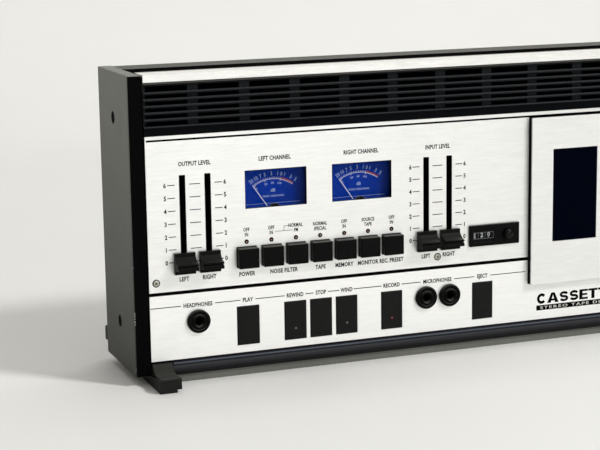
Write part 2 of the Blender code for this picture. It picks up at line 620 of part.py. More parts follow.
def spindle(name, side):
    """A hub with six driving ribs on a reel table, its shaft and the rotor of its own motor."""
    z = TAPE_MID_Z + side * SPINDLE_SPACING / 2
    centre = (SPINDLE_X, z)
    star = []
    for i in range(6):
        turn = math.tau * i / 6
        for offset, radius in ((-0.28, 0.0028), (-0.13, 0.0042), (0.13, 0.0042), (0.28, 0.0028)):
            star.append((centre[0] + radius * math.cos(turn + offset), centre[1] + radius * math.sin(turn + offset)))
    at = (SPINDLE_X, behind(0.0200), z)
    hub = prism(name, [star], "Y", behind(0.0090), behind(0.0205), STEEL_GREY, at)
    tip = drum(name + "_tip", (SPINDLE_X, behind(0.0087), z), "Y", 0.0020, 0.0030, sides=16)
    table = drum(name + "_table", (SPINDLE_X, behind(0.0206), z), "Y", 0.0070, 0.0016, sides=28)
    shaft = drum(name + "_shaft", (SPINDLE_X, behind(0.0240), z), "Y", 0.0026, 0.0080, sides=16)
    rotor = drum(name + "_rotor", (SPINDLE_X, behind(0.0320), z), "Y", 0.0130, 0.0100, sides=28)
    return join(hub, tip, table, shaft, rotor)


def capstan(name, side):
    """A ground shaft pressed into its flywheel."""
    z = TAPE_MID_Z + side * CAPSTAN_OFFSET
    wheel = drum(name, (CAPSTAN_X, behind(0.0470), z), "Y", FLYWHEEL_RADIUS, 0.0060, STEEL_GREY, sides=48)
    shaft = drum(name + "_shaft", (CAPSTAN_X, behind(0.0270), z), "Y", CAPSTAN_RADIUS, 0.0380, sides=16)
    collar = drum(name + "_collar", (CAPSTAN_X, behind(0.0415), z), "Y", 0.0040, 0.0070, sides=16)
    return join(wheel, collar, shaft)


def motor_and_pulley():
    """The capstan motor's can, and the pulley on its own shaft."""
    can = drum("capstan_motor", (PULLEY_X, behind(0.0680), TAPE_MID_Z), "Y", 0.0140, 0.0260, STEEL_GREY, sides=32)
    cut(can, drum("motor_bore", (PULLEY_X, behind(0.0570), TAPE_MID_Z), "Y", 0.0013, 0.0140, sides=16))
    pulley = drum("motor_pulley", (PULLEY_X, behind(0.0470), TAPE_MID_Z), "Y", PULLEY_RADIUS, 0.0060, STEEL_GREY, sides=24)
    return join(pulley, drum("motor_shaft", (PULLEY_X, behind(0.0550), TAPE_MID_Z), "Y", 0.0010, 0.0130, sides=12))


def wrap(circles, margin):
    """The taut outline round circles that are listed counter-clockwise."""
    outline = []
    count = len(circles)
    for i, (cx, cz, radius) in enumerate(circles):
        limits = []
        for (ax, az, ar), (bx, bz, br) in ((circles[i - 1], circles[i]), (circles[i], circles[(i + 1) % count])):
            heading = math.atan2(bz - az, bx - ax)
            lean = math.asin((ar - br) / math.hypot(bx - ax, bz - az))
            limits.append(heading - math.pi / 2 + lean)
        start, stop = limits
        while stop < start:
            stop += math.tau
        steps = max(2, round((stop - start) / 0.22))
        outline += arc((cx, cz), radius + margin, math.degrees(start), math.degrees(stop), steps)
    return outline


def drive_belt():
    """The flat belt round both flywheels and the motor's pulley."""
    circles = [(CAPSTAN_X, TAPE_MID_Z - CAPSTAN_OFFSET, FLYWHEEL_RADIUS), (PULLEY_X, TAPE_MID_Z, PULLEY_RADIUS),
               (CAPSTAN_X, TAPE_MID_Z + CAPSTAN_OFFSET, FLYWHEEL_RADIUS)]
    return prism("drive_belt", [wrap(circles, 0.0012), wrap(circles, 0.0004)], "Y", behind(0.0450), behind(0.0490), RUBBER)


def head_carriage():
    """The sliding plate with the erase, record and playback heads and the tape guides."""
    left, right = 0.1835, 0.2050
    plate = block("head_carriage", (left, behind(0.0195), TAPE_MID_Z - 0.0220), (right, behind(0.0218), TAPE_MID_Z + 0.0220),
                  STEEL_GREY)
    heads = []
    for i, offset in enumerate((-0.0140, 0.0, 0.0140)):
        z = TAPE_MID_Z + offset
        shell = block("head_%d" % i, (left - 0.0020, behind(0.0080), z - 0.0050), (left + 0.0090, behind(0.0200), z + 0.0050))
        heads.append(soften(shell, 0.0012))
    return join(plate, *heads)


def pinch_arm(name, side):
    """A swinging arm with its rubber roller and its pivot boss."""
    roller_z = TAPE_MID_Z + side * CAPSTAN_OFFSET
    pivot_z = roller_z + side * PINCH_ARM
    pivot = (PINCH_X, behind(0.0200), pivot_z)
    arm = block(name, (PINCH_X - 0.0030, behind(0.0170), min(roller_z, pivot_z) - 0.0030),
                (PINCH_X + 0.0030, behind(0.0190), max(roller_z, pivot_z) + 0.0030), STEEL_GREY, pivot)
    boss = drum(name + "_boss", (PINCH_X, behind(0.0202), pivot_z), "Y", 0.0024, 0.0074, sides=16)
    roller = drum(name + "_roller", (PINCH_X, behind(0.0128), roller_z), "Y", PINCH_RADIUS, 0.0100, sides=24)
    return join(arm, boss, roller)


# ---------------------------------------------------------------- electrics
def control_board():
    """The circuit board behind the controls, with the slide controls and the push switches on it."""
    face = behind(0.0310)
    board = block("control_board", (-0.2115, face, 0.0790), (0.0965, face + 0.0016, 0.1873), BOARD)
    bodies, tracks = [], []
    for left, right in ((SLOT_X[0], SLOT_X[1]), (SLOT_X[2], SLOT_X[3])):
        bodies.append(((left - 0.0050, behind(0.0046), SLOT_Z[0] - 0.0040), (right + 0.0050, face + 0.0004, SLOT_Z[1] + 0.0040)))
    for x in SLOT_X:
        tracks.append(((x - 0.0020, behind(0.0030), SLOT_Z[0] - 0.0010), (x + 0.0020, behind(0.0160), SLOT_Z[1] + 0.0010)))
    for i in range(len(BUTTON_NAMES)):
        bodies.append(((button_x(i) - 0.0070, behind(0.0180), BUTTON_Z - 0.0060), (button_x(i) + 0.0070, face + 0.0004, BUTTON_Z + 0.0060)))
    return cut(join(board, blocks("board_bodies", bodies)), blocks("slider_tracks", tracks))


def power_transformer():
    """A laminated core with its winding."""
    core = block("power_transformer", (-0.2050, behind(0.0340), 0.0120), (-0.1450, behind(0.0780), 0.0620), STEEL_GREY)
    winding = block("winding", (-0.1980, behind(0.0310), 0.0230), (-0.1520, behind(0.0810), 0.0510))
    return join(core, soften(winding, 0.0030, 2))


# ---------------------------------------------------------------- assembly
for word, hand in (("left", -1), ("right", 1)):
    side_panel(word + "_side_panel", hand)
    front_foot("front_foot_" + word, hand)
    back_foot("back_foot_upper_" + word, hand * 0.2140, 0.2100)
    back_foot("back_foot_lower_" + word, hand * (INNER_X + SIDE_THICKNESS / 2), 0.0217)

base_plate()
bottom_trim()
rear_cover()
top_trim()
vent_grille()
control_panel()
key_panel()
front_frame()

for word, place in zip(METER_SIDES, METER_X):
    meter(word, place)

for number, word in enumerate(BUTTON_NAMES):
    push_button(number, word)

for word, edge in KEY_LEFT.items():
    transport_key(word, edge)

for word, place in zip(SLOT_NAMES, SLOT_X):
    slider_knob("knob_" + word, place)

jack("headphone_jack", [HEADPHONE_X], HEADPHONE_X - 0.0075, HEADPHONE_X + 0.0075)
jack("microphone_jacks", MICROPHONE_X, MICROPHONE_X[0] - 0.0075, MICROPHONE_X[1] + 0.0075)
tape_counter()

lid()
cassette_well()
spindle("supply_spindle", -1)
spindle("take_up_spindle", 1)
capstan("capstan_lower", -1)
capstan("capstan_upper", 1)
motor_and_pulley()
drive_belt()
head_carriage()
pinch_arm("pinch_arm_lower", -1)
pinch_arm("pinch_arm_upper", 1)
control_board()
power_transformer()
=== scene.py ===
"""The looks of the cassette deck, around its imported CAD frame. Metres, +Z up, the front looks towards -Y."""
import math

import bmesh
import bpy
from mathutils import Matrix, Vector


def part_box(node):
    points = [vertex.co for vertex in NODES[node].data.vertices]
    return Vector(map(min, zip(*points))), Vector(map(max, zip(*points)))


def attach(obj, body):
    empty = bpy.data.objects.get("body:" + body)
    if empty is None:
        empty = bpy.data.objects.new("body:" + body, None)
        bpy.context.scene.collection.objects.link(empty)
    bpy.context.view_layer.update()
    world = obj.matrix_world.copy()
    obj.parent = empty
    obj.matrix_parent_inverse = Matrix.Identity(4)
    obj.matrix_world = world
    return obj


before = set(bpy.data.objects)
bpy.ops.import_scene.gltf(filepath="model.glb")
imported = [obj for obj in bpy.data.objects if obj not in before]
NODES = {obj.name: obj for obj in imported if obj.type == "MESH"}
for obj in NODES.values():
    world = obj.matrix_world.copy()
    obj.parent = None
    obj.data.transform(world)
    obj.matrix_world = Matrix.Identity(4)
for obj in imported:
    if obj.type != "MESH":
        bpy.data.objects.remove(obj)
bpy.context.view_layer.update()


def span(node):
    """Lowest and highest corner of a CAD node, as vectors."""
    low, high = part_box(node)
    return Vector(low), Vector(high)


def middle_x(node):
    low, high = span(node)
    return (low.x + high.x) / 2


PANEL_LOW, PANEL_HIGH = span("control_panel")
KEYS_LOW, KEYS_HIGH = span("key_panel")
FACE_Y = PANEL_LOW.y
PRINT = 0.00004                  # thickness of printed ink
INK_FRONT = FACE_Y - PRINT - 0.00001
INK_BACK = FACE_Y - 0.00001
SIDE_SCREW_Y = FACE_Y + 0.0435   # the two screw holes of a side panel
SIDE_SCREW_Z = (0.0429, 0.2043)
SIDE_HOLE = 0.0049               # their radius
TOP_LIP_Z = 0.2342               # below this the top trim is its dark lip
COVER_STEP_Y = FACE_Y + 0.0564   # the cover is black in front of this
RELIEF = 0.00005                 # height of a fine grain

# ---------------------------------------------------------------- materials


def new_material(name):
    material = bpy.data.materials.new(name)
    material.use_nodes = True
    tree = material.node_tree
    return material, tree, tree.nodes["Principled BSDF"]


def grain(tree, stretch, detail=4.0, roughness=0.6, scale=1.0):
    """A noise over the object's own coordinates, stretched by a scale for each axis."""
    where = tree.nodes.new("ShaderNodeTexCoord")
    place = tree.nodes.new("ShaderNodeMapping")
    place.inputs["Scale"].default_value = stretch
    noise = tree.nodes.new("ShaderNodeTexNoise")
    noise.inputs["Scale"].default_value = scale
    noise.inputs["Detail"].default_value = detail
    noise.inputs["Roughness"].default_value = roughness
    tree.links.new(where.outputs["Object"], place.inputs["Vector"])
    tree.links.new(place.outputs["Vector"], noise.inputs["Vector"])
    return noise.outputs["Fac"]


def remap(tree, value, low, high, to_low, to_high):
    step = tree.nodes.new("ShaderNodeMapRange")
    for key, number in (("From Min", low), ("From Max", high), ("To Min", to_low), ("To Max", to_high)):
        step.inputs[key].default_value = number
    tree.links.new(value, step.inputs["Value"])
    return step.outputs["Result"]


def spread(tree, noise, to_low=0.0, to_high=1.0):
    """Stretches the busy middle of a noise between two values."""
    return remap(tree, noise, 0.3, 0.7, to_low, to_high)


def blend_colours(tree, factor, first, second):
    """Mixes two colours, each a triple or a socket."""
    mix = tree.nodes.new("ShaderNodeMix")
    mix.data_type = "RGBA"
    tree.links.new(factor, mix.inputs["Factor"])
    for socket, colour in ((mix.inputs[6], first), (mix.inputs[7], second)):
        if isinstance(colour, tuple):
            socket.default_value = (*colour, 1.0)
        else:
            tree.links.new(colour, socket)
    return mix.outputs[2]


def math_node(tree, operation, first, second=None):
    node = tree.nodes.new("ShaderNodeMath")
    node.operation = operation
    for socket, value in zip(node.inputs, (first, second)):
        if value is None:
            continue
        if isinstance(value, (int, float)):
            socket.default_value = value
        else:
            tree.links.new(value, socket)
    return node.outputs[0]


def axis_value(tree, axis):
    where = tree.nodes.new("ShaderNodeTexCoord")
    split = tree.nodes.new("ShaderNodeSeparateXYZ")
    tree.links.new(where.outputs["Object"], split.inputs[0])
    return split.outputs[axis]


def bump(tree, shader, height, strength, distance=RELIEF):
    node = tree.nodes.new("ShaderNodeBump")
    node.inputs["Strength"].default_value = strength
    node.inputs["Distance"].default_value = distance
    tree.links.new(height, node.inputs["Height"])
    tree.links.new(node.outputs["Normal"], shader.inputs["Normal"])


def dress(tree, shader, tone, rough, gloss=0.5):
    """Gives a shader its colour, its roughness and its gloss."""
    tree.links.new(tone, shader.inputs["Base Color"])
    tree.links.new(rough, shader.inputs["Roughness"])
    shader.inputs["Specular IOR Level"].default_value = gloss


def surface(name, dark, light, rough, metallic=0.0, stretch=(900, 900, 900), relief=0, coat=0.0, gloss=0.5):
    """A material whose colour, roughness and relief follow one fine grain."""
    material, tree, shader = new_material(name)
    noise = grain(tree, stretch)
    tone = blend_colours(tree, spread(tree, noise), dark, light)
    dress(tree, shader, tone, spread(tree, noise, *rough), gloss)
    shader.inputs["Metallic"].default_value = metallic
    shader.inputs["Coat Weight"].default_value = coat
    if relief:
        bump(tree, shader, noise, relief)
    return material


def grey(level):
    return level, level, level


def face_up(tree, low=0.3, high=0.75):
    """How far a surface faces upwards, from 0 to 1."""
    shape = tree.nodes.new("ShaderNodeNewGeometry")
    split = tree.nodes.new("ShaderNodeSeparateXYZ")
    tree.links.new(shape.outputs["Normal"], split.inputs[0])
    return remap(tree, split.outputs[2], low, high, 0.0, 1.0)


def moulding(name, colour, lit_colour, rough, gloss=0.05, shade_behind=None, louvre_z=None):
    """Black plastic with a painted highlight on upward faces, painted shade behind a depth and painted light
    on louvres above a height.
    """
    material, tree, shader = new_material(name)
    noise = grain(tree, (900, 900, 900))
    # painted highlight: faces that point upwards are lighter, as if lit from above
    tone = blend_colours(tree, face_up(tree), colour, lit_colour)
    # painted light: above this height the louvres take a lighter tone, as lit slats
    if louvre_z is not None:
        louvre = blend_colours(tree, face_up(tree), (0.013, 0.014, 0.0155), lit_colour)
        above = math_node(tree, "GREATER_THAN", axis_value(tree, 2), louvre_z)
        tone = blend_colours(tree, above, tone, louvre)
    tone = blend_colours(tree, spread(tree, noise, 0.0, 0.35), tone, grey(0.001))
    # painted shade: everything behind this depth is near black, as the grille's hollows are shaded
    if shade_behind is not None:
        shaded_inside = math_node(tree, "GREATER_THAN", axis_value(tree, 1), shade_behind)
        tone = blend_colours(tree, shaded_inside, tone, (0.0050, 0.0056, 0.0066))
    dress(tree, shader, tone, spread(tree, noise, *rough), gloss)
    bump(tree, shader, noise, 0.12)
    return material


def banded(name, low_z, high_z, stops, rough, gloss=0.1):
    """Colours laid out by height, as the rail's profile catches the light."""
    material, tree, shader = new_material(name)
    ramp = tree.nodes.new("ShaderNodeValToRGB")
    while len(ramp.color_ramp.elements) < len(stops):
        ramp.color_ramp.elements.new(0.5)
    for element, (z, colour) in zip(ramp.color_ramp.elements, stops):
        element.position = (z - low_z) / (high_z - low_z)
        element.color = (*colour, 1.0)
    tree.links.new(remap(tree, axis_value(tree, 2), low_z, high_z, 0.0, 1.0), ramp.inputs["Fac"])
    noise = grain(tree, (60, 900, 900))
    tone = blend_colours(tree, spread(tree, noise, 0.0, 0.25), ramp.outputs["Color"], (0.004, 0.004, 0.005))
    dress(tree, shader, tone, spread(tree, noise, *rough), gloss)
    return material


def brushed(name, dark, light, rough, metallic=0.75, lip_z=None, shade_right=0.0):
    """Aluminium brushed along X: long fine strokes over broad, weak bands. It may darken to the right as
    painted shade, and the trim's rear edge gets a painted brownish reflection.
    """
    material, tree, shader = new_material(name)
    fine = grain(tree, (110, 2600, 2600), 3.0)
    broad = grain(tree, (45, 520, 520), 3.0)
    shares = [math_node(tree, "MULTIPLY", noise, share) for noise, share in ((fine, 0.6), (broad, 0.4))]
    strokes = math_node(tree, "ADD", *shares)
    wear = grain(tree, (9, 9, 9), 5.0)
    tone = blend_colours(tree, remap(tree, strokes, 0.36, 0.64, 0, 1), dark, light)
    if lip_z is not None:
        lip = math_node(tree, "LESS_THAN", axis_value(tree, 2), lip_z)
        tone = blend_colours(tree, lip, tone, (0.055, 0.053, 0.048))
        # painted reflection: a darker brownish band along the trim's rear edge
        rear = math_node(tree, "GREATER_THAN", axis_value(tree, 1), FACE_Y + 0.0195)
        tone = blend_colours(tree, rear, tone, (0.34, 0.31, 0.27))
    # painted shade: the panel darkens towards the right
    if shade_right:
        panel_shade = remap(tree, axis_value(tree, 0), -0.16, 0.20, 0.0, shade_right)
        tone = blend_colours(tree, panel_shade, tone, grey(0.0))
    polish = remap(tree, strokes, 0.35, 0.65, rough[0], rough[1])
    dress(tree, shader, tone, math_node(tree, "ADD", polish, spread(tree, wear, -0.03, 0.03)))
    shader.inputs["Metallic"].default_value = metallic
    bump(tree, shader, strokes, 0.22, 0.00004)
    return material


ENAMEL = ((0.098, 0.100, 0.090), (0.116, 0.118, 0.107))


def cabinet_paint(name, chips_and_shade=False, black_before=None, lighting_tint=1.0, gloss=0.35):
    """Fine textured enamel, made lighter or darker by a factor as painted light. It may have chips at its
    front corner, scuffs, painted shade towards the floor and in its screw holes, or be black before a depth.
    """
    material, tree, shader = new_material(name)
    texture = grain(tree, (1400, 1400, 1400), 5.0)
    cloud = grain(tree, (14, 14, 14), 4.0)
    # painted light: each part's copy of the enamel is scaled lighter or darker
    dark, light = (tuple(part * lighting_tint for part in colour) for colour in ENAMEL)
    tone = blend_colours(tree, spread(tree, cloud), dark, light)
    depth = axis_value(tree, 1)
    if black_before is not None:
        front = math_node(tree, "LESS_THAN", depth, black_before)
        tone = blend_colours(tree, front, tone, grey(0.0015))
    if chips_and_shade:
        height = axis_value(tree, 2)
        # painted shade: the paint darkens towards the floor
        floor_shade = remap(tree, height, 0.0, 0.235, 0.95, 0.0)
        tone = blend_colours(tree, floor_shade, tone, (0.016, 0.016, 0.014))
        corner = math_node(tree, "ABSOLUTE", math_node(tree, "SUBTRACT", depth, FACE_Y + 0.0003))
        near = remap(tree, corner, 0.0, 0.0012, 1.0, 0.0)
        off = math_node(tree, "ABSOLUTE", math_node(tree, "SUBTRACT", height, 0.0605))
        worn = remap(tree, off, 0.0, 0.008, 0.16, 0.0)
        spots = math_node(tree, "ADD", grain(tree, (240, 240, 240), 4.0, 0.7), worn)
        chips = math_node(tree, "GREATER_THAN", math_node(tree, "MULTIPLY", spots, near), 0.62)
        tone = blend_colours(tree, chips, tone, (0.30, 0.29, 0.27))
        scuffs = math_node(tree, "GREATER_THAN", grain(tree, (55, 55, 160), 5.0, 0.75), 0.73)
        tone = blend_colours(tree, math_node(tree, "MULTIPLY", scuffs, 0.5), tone, grey(0.02))
        # painted shade: the two screw holes are painted near black
        back = math_node(tree, "SUBTRACT", depth, SIDE_SCREW_Y)
        for screw_z in SIDE_SCREW_Z:
            up = math_node(tree, "SUBTRACT", height, screw_z)
            squares = [math_node(tree, "MULTIPLY", side, side) for side in (back, up)]
            hole = math_node(tree, "LESS_THAN", math_node(tree, "ADD", *squares), SIDE_HOLE ** 2)
            tone = blend_colours(tree, hole, tone, grey(0.001))
    dress(tree, shader, tone, spread(tree, texture, 0.45, 0.65), gloss)
    bump(tree, shader, texture, 0.25, 0.00008)
    return material


def clear_cover(name, colour, alpha, rough=0.05, gloss=0.3):
    material, tree, shader = new_material(name)
    smear = grain(tree, (60, 60, 60), 4.0)
    tree.links.new(spread(tree, smear, rough, rough + 0.06), shader.inputs["Roughness"])
    shader.inputs["Base Color"].default_value = (*colour, 1.0)
    shader.inputs["Alpha"].default_value = alpha
    shader.inputs["Specular IOR Level"].default_value = gloss
    return material


def two_depths(name, border_y, near_colour, far_colour):
    """One colour in front of a depth and another behind it."""
    material, tree, shader = new_material(name)
    fleck = grain(tree, (400, 400, 400))
    border = math_node(tree, "GREATER_THAN", axis_value(tree, 1), border_y)
    tone = blend_colours(tree, border, near_colour, far_colour)
    tone = blend_colours(tree, spread(tree, fleck, 0, 0.3), tone, grey(0.004))
    dress(tree, shader, tone, spread(tree, fleck, 0.5, 0.65), 0.2)
    return material


def dial_blue(name, middle, half_width):
    """The dial's blue, darker to the right as painted shade from the case's right wall."""
    material, tree, shader = new_material(name)
    # painted shade: the blue darkens from the middle towards the right
    dial_shade = remap(tree, math_node(tree, "SUBTRACT", axis_value(tree, 0), middle), 0.0, half_width, 0, 1)
    fleck = grain(tree, (900, 900, 900))
    tone = blend_colours(tree, dial_shade, (0.0, 0.026, 0.30), (0.0, 0.014, 0.17))
    tone = blend_colours(tree, remap(tree, fleck, 0.2, 0.8, 0, 0.25), tone, (0.0, 0.034, 0.35))
    dress(tree, shader, tone, spread(tree, fleck, 0.5, 0.65), 0.04)
    return material


BRUSHED = (0.34, 0.46)           # roughness of the panels
ALUMINIUM = brushed("brushed_aluminium", (0.84, 0.845, 0.835), (0.93, 0.935, 0.925), BRUSHED, shade_right=0.13)
KEY_ALUMINIUM = brushed("key_panel_aluminium", (0.90, 0.905, 0.895), (0.97, 0.975, 0.965), BRUSHED, 0.6,
                        shade_right=0.08)
LID_ALUMINIUM = brushed("lid_aluminium", (0.745, 0.75, 0.74), (0.83, 0.835, 0.825), BRUSHED)
TRIM_ALUMINIUM = brushed("trim_aluminium", (0.79, 0.79, 0.77), (0.93, 0.93, 0.91), (0.28, 0.40),
                         lip_z=TOP_LIP_Z)
# One enamel for the base, the cover and the side panels, made lighter or darker on each part as painted light.
PAINT = cabinet_paint("base_paint", lighting_tint=1.08)
COVER_PAINT = cabinet_paint("cover_paint", black_before=COVER_STEP_Y, lighting_tint=0.9, gloss=0.06)
SIDE_PAINT = cabinet_paint("side_paint", chips_and_shade=True, lighting_tint=1.5)
# Black mouldings with painted highlights on upward faces; the grille also gets painted shade behind its front
# and lighter, lit louvres.
BLACK = moulding("moulded_black", (0.0145, 0.0145, 0.0140), (0.034, 0.036, 0.031), (0.40, 0.55), 0.06)
SATIN_BLACK = moulding("satin_black", (0.0032, 0.0036, 0.0034), (0.062, 0.062, 0.056), (0.35, 0.50), 0.045)
KNOB_BLACK = moulding("knob_black", (0.0042, 0.0043, 0.0040), (0.013, 0.013, 0.012), (0.35, 0.50), 0.06)
KEY_BLACK = moulding("key_black", grey(0.0110), grey(0.022), (0.42, 0.55), 0.06)
GRILLE_BLACK = moulding("grille_black", (0.0018, 0.0022, 0.0032), (0.040, 0.044, 0.050), (0.30, 0.42), 0.03,
                        FACE_Y + 0.0036, 0.2012)
GLOSS_BLACK = surface("gloss_black", grey(0.0012), grey(0.002), (0.08, 0.14), gloss=0.16)
RAIL_BANDS = (
    (0.0060, grey(0.010)), (0.0098, (0.012, 0.012, 0.013)), (0.0110, (0.022, 0.022, 0.025)),
    (0.0140, (0.040, 0.042, 0.046)), (0.0147, (0.005, 0.005, 0.006)), (0.0154, (0.030, 0.034, 0.042)),
    (0.0163, (0.110, 0.120, 0.155)), (0.0169, (0.012, 0.015, 0.022)), (0.0176, (0.004, 0.004, 0.005)))
TRIM_BLACK = banded("trim_black", 0.0055, 0.0185, RAIL_BANDS, (0.40, 0.55), 0.05)
FRAME_BLACK = surface("frame_black", grey(0.0012), grey(0.0024), (0.5, 0.65), gloss=0.01, relief=0.15)
EDGE_BLACK = surface("edge_black", (0.0016, 0.0016, 0.0019), (0.0028, 0.0028, 0.0031), (0.5, 0.7), gloss=0.01)
# a near-black sheet used as painted shade behind the grille
SHADE_BLACK = surface("shade_black_sheet", grey(0.0004), grey(0.0009), (0.8, 0.95), gloss=0.0)
RUBBER = surface("rubber", grey(0.010), grey(0.022), (0.7, 0.85), stretch=(500, 500, 500), relief=0.15)
STEEL = surface("turned_steel", (0.50, 0.50, 0.49), (0.66, 0.66, 0.65), (0.22, 0.36), 1.0, (300, 3000, 300),
                relief=0.15)
ZINC = surface("zinc_plate", (0.40, 0.39, 0.34), (0.60, 0.58, 0.50), (0.3, 0.5), 1.0, (120, 120, 120),
               relief=0.15)
BOARD = two_depths("circuit_board", FACE_Y + 0.0306, grey(0.006), (0.20, 0.11, 0.04))
CHIP_GREY = surface("bare_board", (0.30, 0.29, 0.27), (0.48, 0.47, 0.44), (0.6, 0.8))
WHITE_PLASTIC = surface("white_plastic", (0.62, 0.62, 0.58), (0.70, 0.70, 0.66), (0.4, 0.5), relief=0.15)
NEEDLE = surface("needle", (0.80, 0.82, 0.82), (0.92, 0.93, 0.93), (0.4, 0.5))
BLACK_INK = surface("black_ink", (0.0012, 0.0012, 0.0014), (0.003, 0.003, 0.0034), (0.5, 0.65), gloss=0.01)
WHITE_INK = surface("white_ink", (0.62, 0.68, 0.74), (0.74, 0.78, 0.82), (0.5, 0.6), gloss=0.1)
PALE_INK = surface("pale_ink", (0.22, 0.32, 0.52), (0.30, 0.40, 0.60), (0.5, 0.6), gloss=0.1)
RED_INK = surface("red_ink", (0.24, 0.040, 0.045), (0.30, 0.060, 0.06), (0.5, 0.6), gloss=0.1)
GREY_INK = surface("grey_ink", grey(0.10), grey(0.14), (0.5, 0.6))
# light blue that paints the lens's reflection on the meter's inner ledge
LEDGE_REFLECTION_BLUE = surface("ledge_reflection_blue", (0.02, 0.06, 0.34), (0.04, 0.10, 0.44), (0.15, 0.25))
METER_CASE = surface("meter_case", (0.001, 0.003, 0.018), (0.002, 0.005, 0.028), (0.35, 0.5), relief=0.05,
                     gloss=0.15)
LAMP_LENS = surface("lamp_lens", (0.035, 0.006, 0.003), (0.060, 0.012, 0.006), (0.06, 0.12), coat=0.6)
LAMP_GLINT = surface("lamp_glint", (0.42, 0.24, 0.18), (0.60, 0.36, 0.28), (0.2, 0.3))
METER_LENS = clear_cover("meter_lens", (0.002, 0.01, 0.06), 0.06, 0.03, 0.5)
WINDOW = clear_cover("smoked_window", (0.0003, 0.0008, 0.0040), 0.96, 0.04, 0.008)


def node_skin(names, skin):
    for name in names:
        NODES[name].data.materials.clear()
        NODES[name].data.materials.append(skin)


BUTTONS = ("power", "noise_filter", "radio_filter", "tape_type", "memory", "monitor", "record_preset")
KEYS = ("play", "rewind", "stop", "wind", "record", "eject")
KNOBS = ("output_left", "output_right", "input_left", "input_right")
SIDES = ("left", "right")
SKINS = {
    "control_panel": ALUMINIUM, "key_panel": KEY_ALUMINIUM, "lid_plate": LID_ALUMINIUM,
    "top_trim": TRIM_ALUMINIUM, "vent_grille": GRILLE_BLACK, "front_frame": FRAME_BLACK,
    "bottom_trim": TRIM_BLACK, "base_plate": PAINT, "rear_cover": COVER_PAINT,
    "headphone_jack": SATIN_BLACK, "microphone_jacks": SATIN_BLACK,
    "counter_body": SATIN_BLACK, "counter_reset_button": GLOSS_BLACK, "counter_wheels": KEY_BLACK,
    "lid_frame": BLACK, "lid_window": WINDOW, "cassette_well": BLACK, "capstan_motor": ZINC,
    "drive_belt": RUBBER, "control_board": BOARD, "power_transformer": ZINC,
}
TURNED = ("supply_spindle", "take_up_spindle", "capstan_upper", "capstan_lower", "motor_pulley",
          "head_carriage", "pinch_arm_upper", "pinch_arm_lower")
for node, skin in SKINS.items():
    node_skin([node], skin)
node_skin(TURNED, STEEL)
node_skin([side + "_side_panel" for side in SIDES], SIDE_PAINT)
node_skin(["front_foot_" + side for side in SIDES], BLACK)
node_skin([name + "_button" for name in BUTTONS], SATIN_BLACK)
node_skin([name + "_key" for name in KEYS], KEY_BLACK)
node_skin(["knob_" + name for name in KNOBS], KNOB_BLACK)
node_skin(["meter_lens_" + side for side in SIDES], METER_LENS)
node_skin(["meter_needle_" + side for side in SIDES], NEEDLE)
node_skin(["back_foot_%s_%s" % (level, side) for level in ("upper", "lower") for side in SIDES], RUBBER)

# ---------------------------------------------------------------- building pieces


def piece(name, bm, material, body="case", smooth=None):
    """Turns a bmesh in the row frame into a piece that rides on a body."""
    bmesh.ops.recalc_face_normals(bm, faces=bm.faces)
    data = bpy.data.meshes.new(name)
    bm.to_mesh(data)
    bm.free()
    if smooth is not None:
        data.shade_smooth()
        data.set_sharp_from_angle(angle=math.radians(smooth))
    data.materials.append(material)
    obj = bpy.data.objects.new(name, data)
    bpy.context.scene.collection.objects.link(obj)
    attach(obj, body)


def add_block(bm, low, high):
    size = Vector(high) - Vector(low)
    middle = (Vector(high) + Vector(low)) / 2
    bmesh.ops.create_cube(bm, size=1.0, matrix=Matrix.Translation(middle) @ Matrix.Diagonal((*size, 1.0)))


def add_frame(bm, outer, inner, near, far):
    """Four blocks between two rectangles, each given as (x0, x1, z0, z1)."""
    x0, x1, z0, z1 = outer
    u0, u1, w0, w1 = inner
    for left, right, low, high in ((x0, x1, w1, z1), (x0, x1, z0, w0), (x0, u0, w0, w1), (u1, x1, w0, w1)):
        add_block(bm, (left, near, low), (right, far, high))


def add_outline(bm, outline, near, far):
    """A closed plate between two depths, from an outline in X-Z."""
    front = [bm.verts.new((x, near, z)) for x, z in outline]
    back = [bm.verts.new((x, far, z)) for x, z in outline]
    bm.faces.new(front)
    bm.faces.new(list(reversed(back)))
    for i in range(len(outline)):
        j = (i + 1) % len(outline)
        bm.faces.new((front[i], back[i], back[j], front[j]))


def add_bar(bm, x0, x1, z0, z1, near=INK_FRONT, far=INK_BACK):
    add_outline(bm, [(x0, z0), (x1, z0), (x1, z1), (x0, z1)], near, far)


def polar(centre, radius, angle):
    """A point by its angle in degrees, clockwise from straight up."""
    turn = math.radians(angle)
    return centre[0] + radius * math.sin(turn), centre[1] + radius * math.cos(turn)


def add_arc(bm, centre, radius, width, start, stop, near, far, steps=24):
    inner = [polar(centre, radius - width / 2, start + (stop - start) * i / steps) for i in range(steps + 1)]
    outer = [polar(centre, radius + width / 2, start + (stop - start) * i / steps) for i in range(steps + 1)]
    rings = [[bm.verts.new((x, y, z)) for x, z in line] for line in (inner, outer) for y in (near, far)]
    in_near, in_far, out_near, out_far = rings
    for i in range(steps):
        bm.faces.new((in_near[i], in_near[i + 1], out_near[i + 1], out_near[i]))
        bm.faces.new((out_far[i], out_far[i + 1], in_far[i + 1], in_far[i]))
        bm.faces.new((in_far[i], in_far[i + 1], in_near[i + 1], in_near[i]))
        bm.faces.new((out_near[i], out_near[i + 1], out_far[i + 1], out_far[i]))
    for i in (0, steps):
        bm.faces.new((in_near[i], out_near[i], out_far[i], in_far[i]))


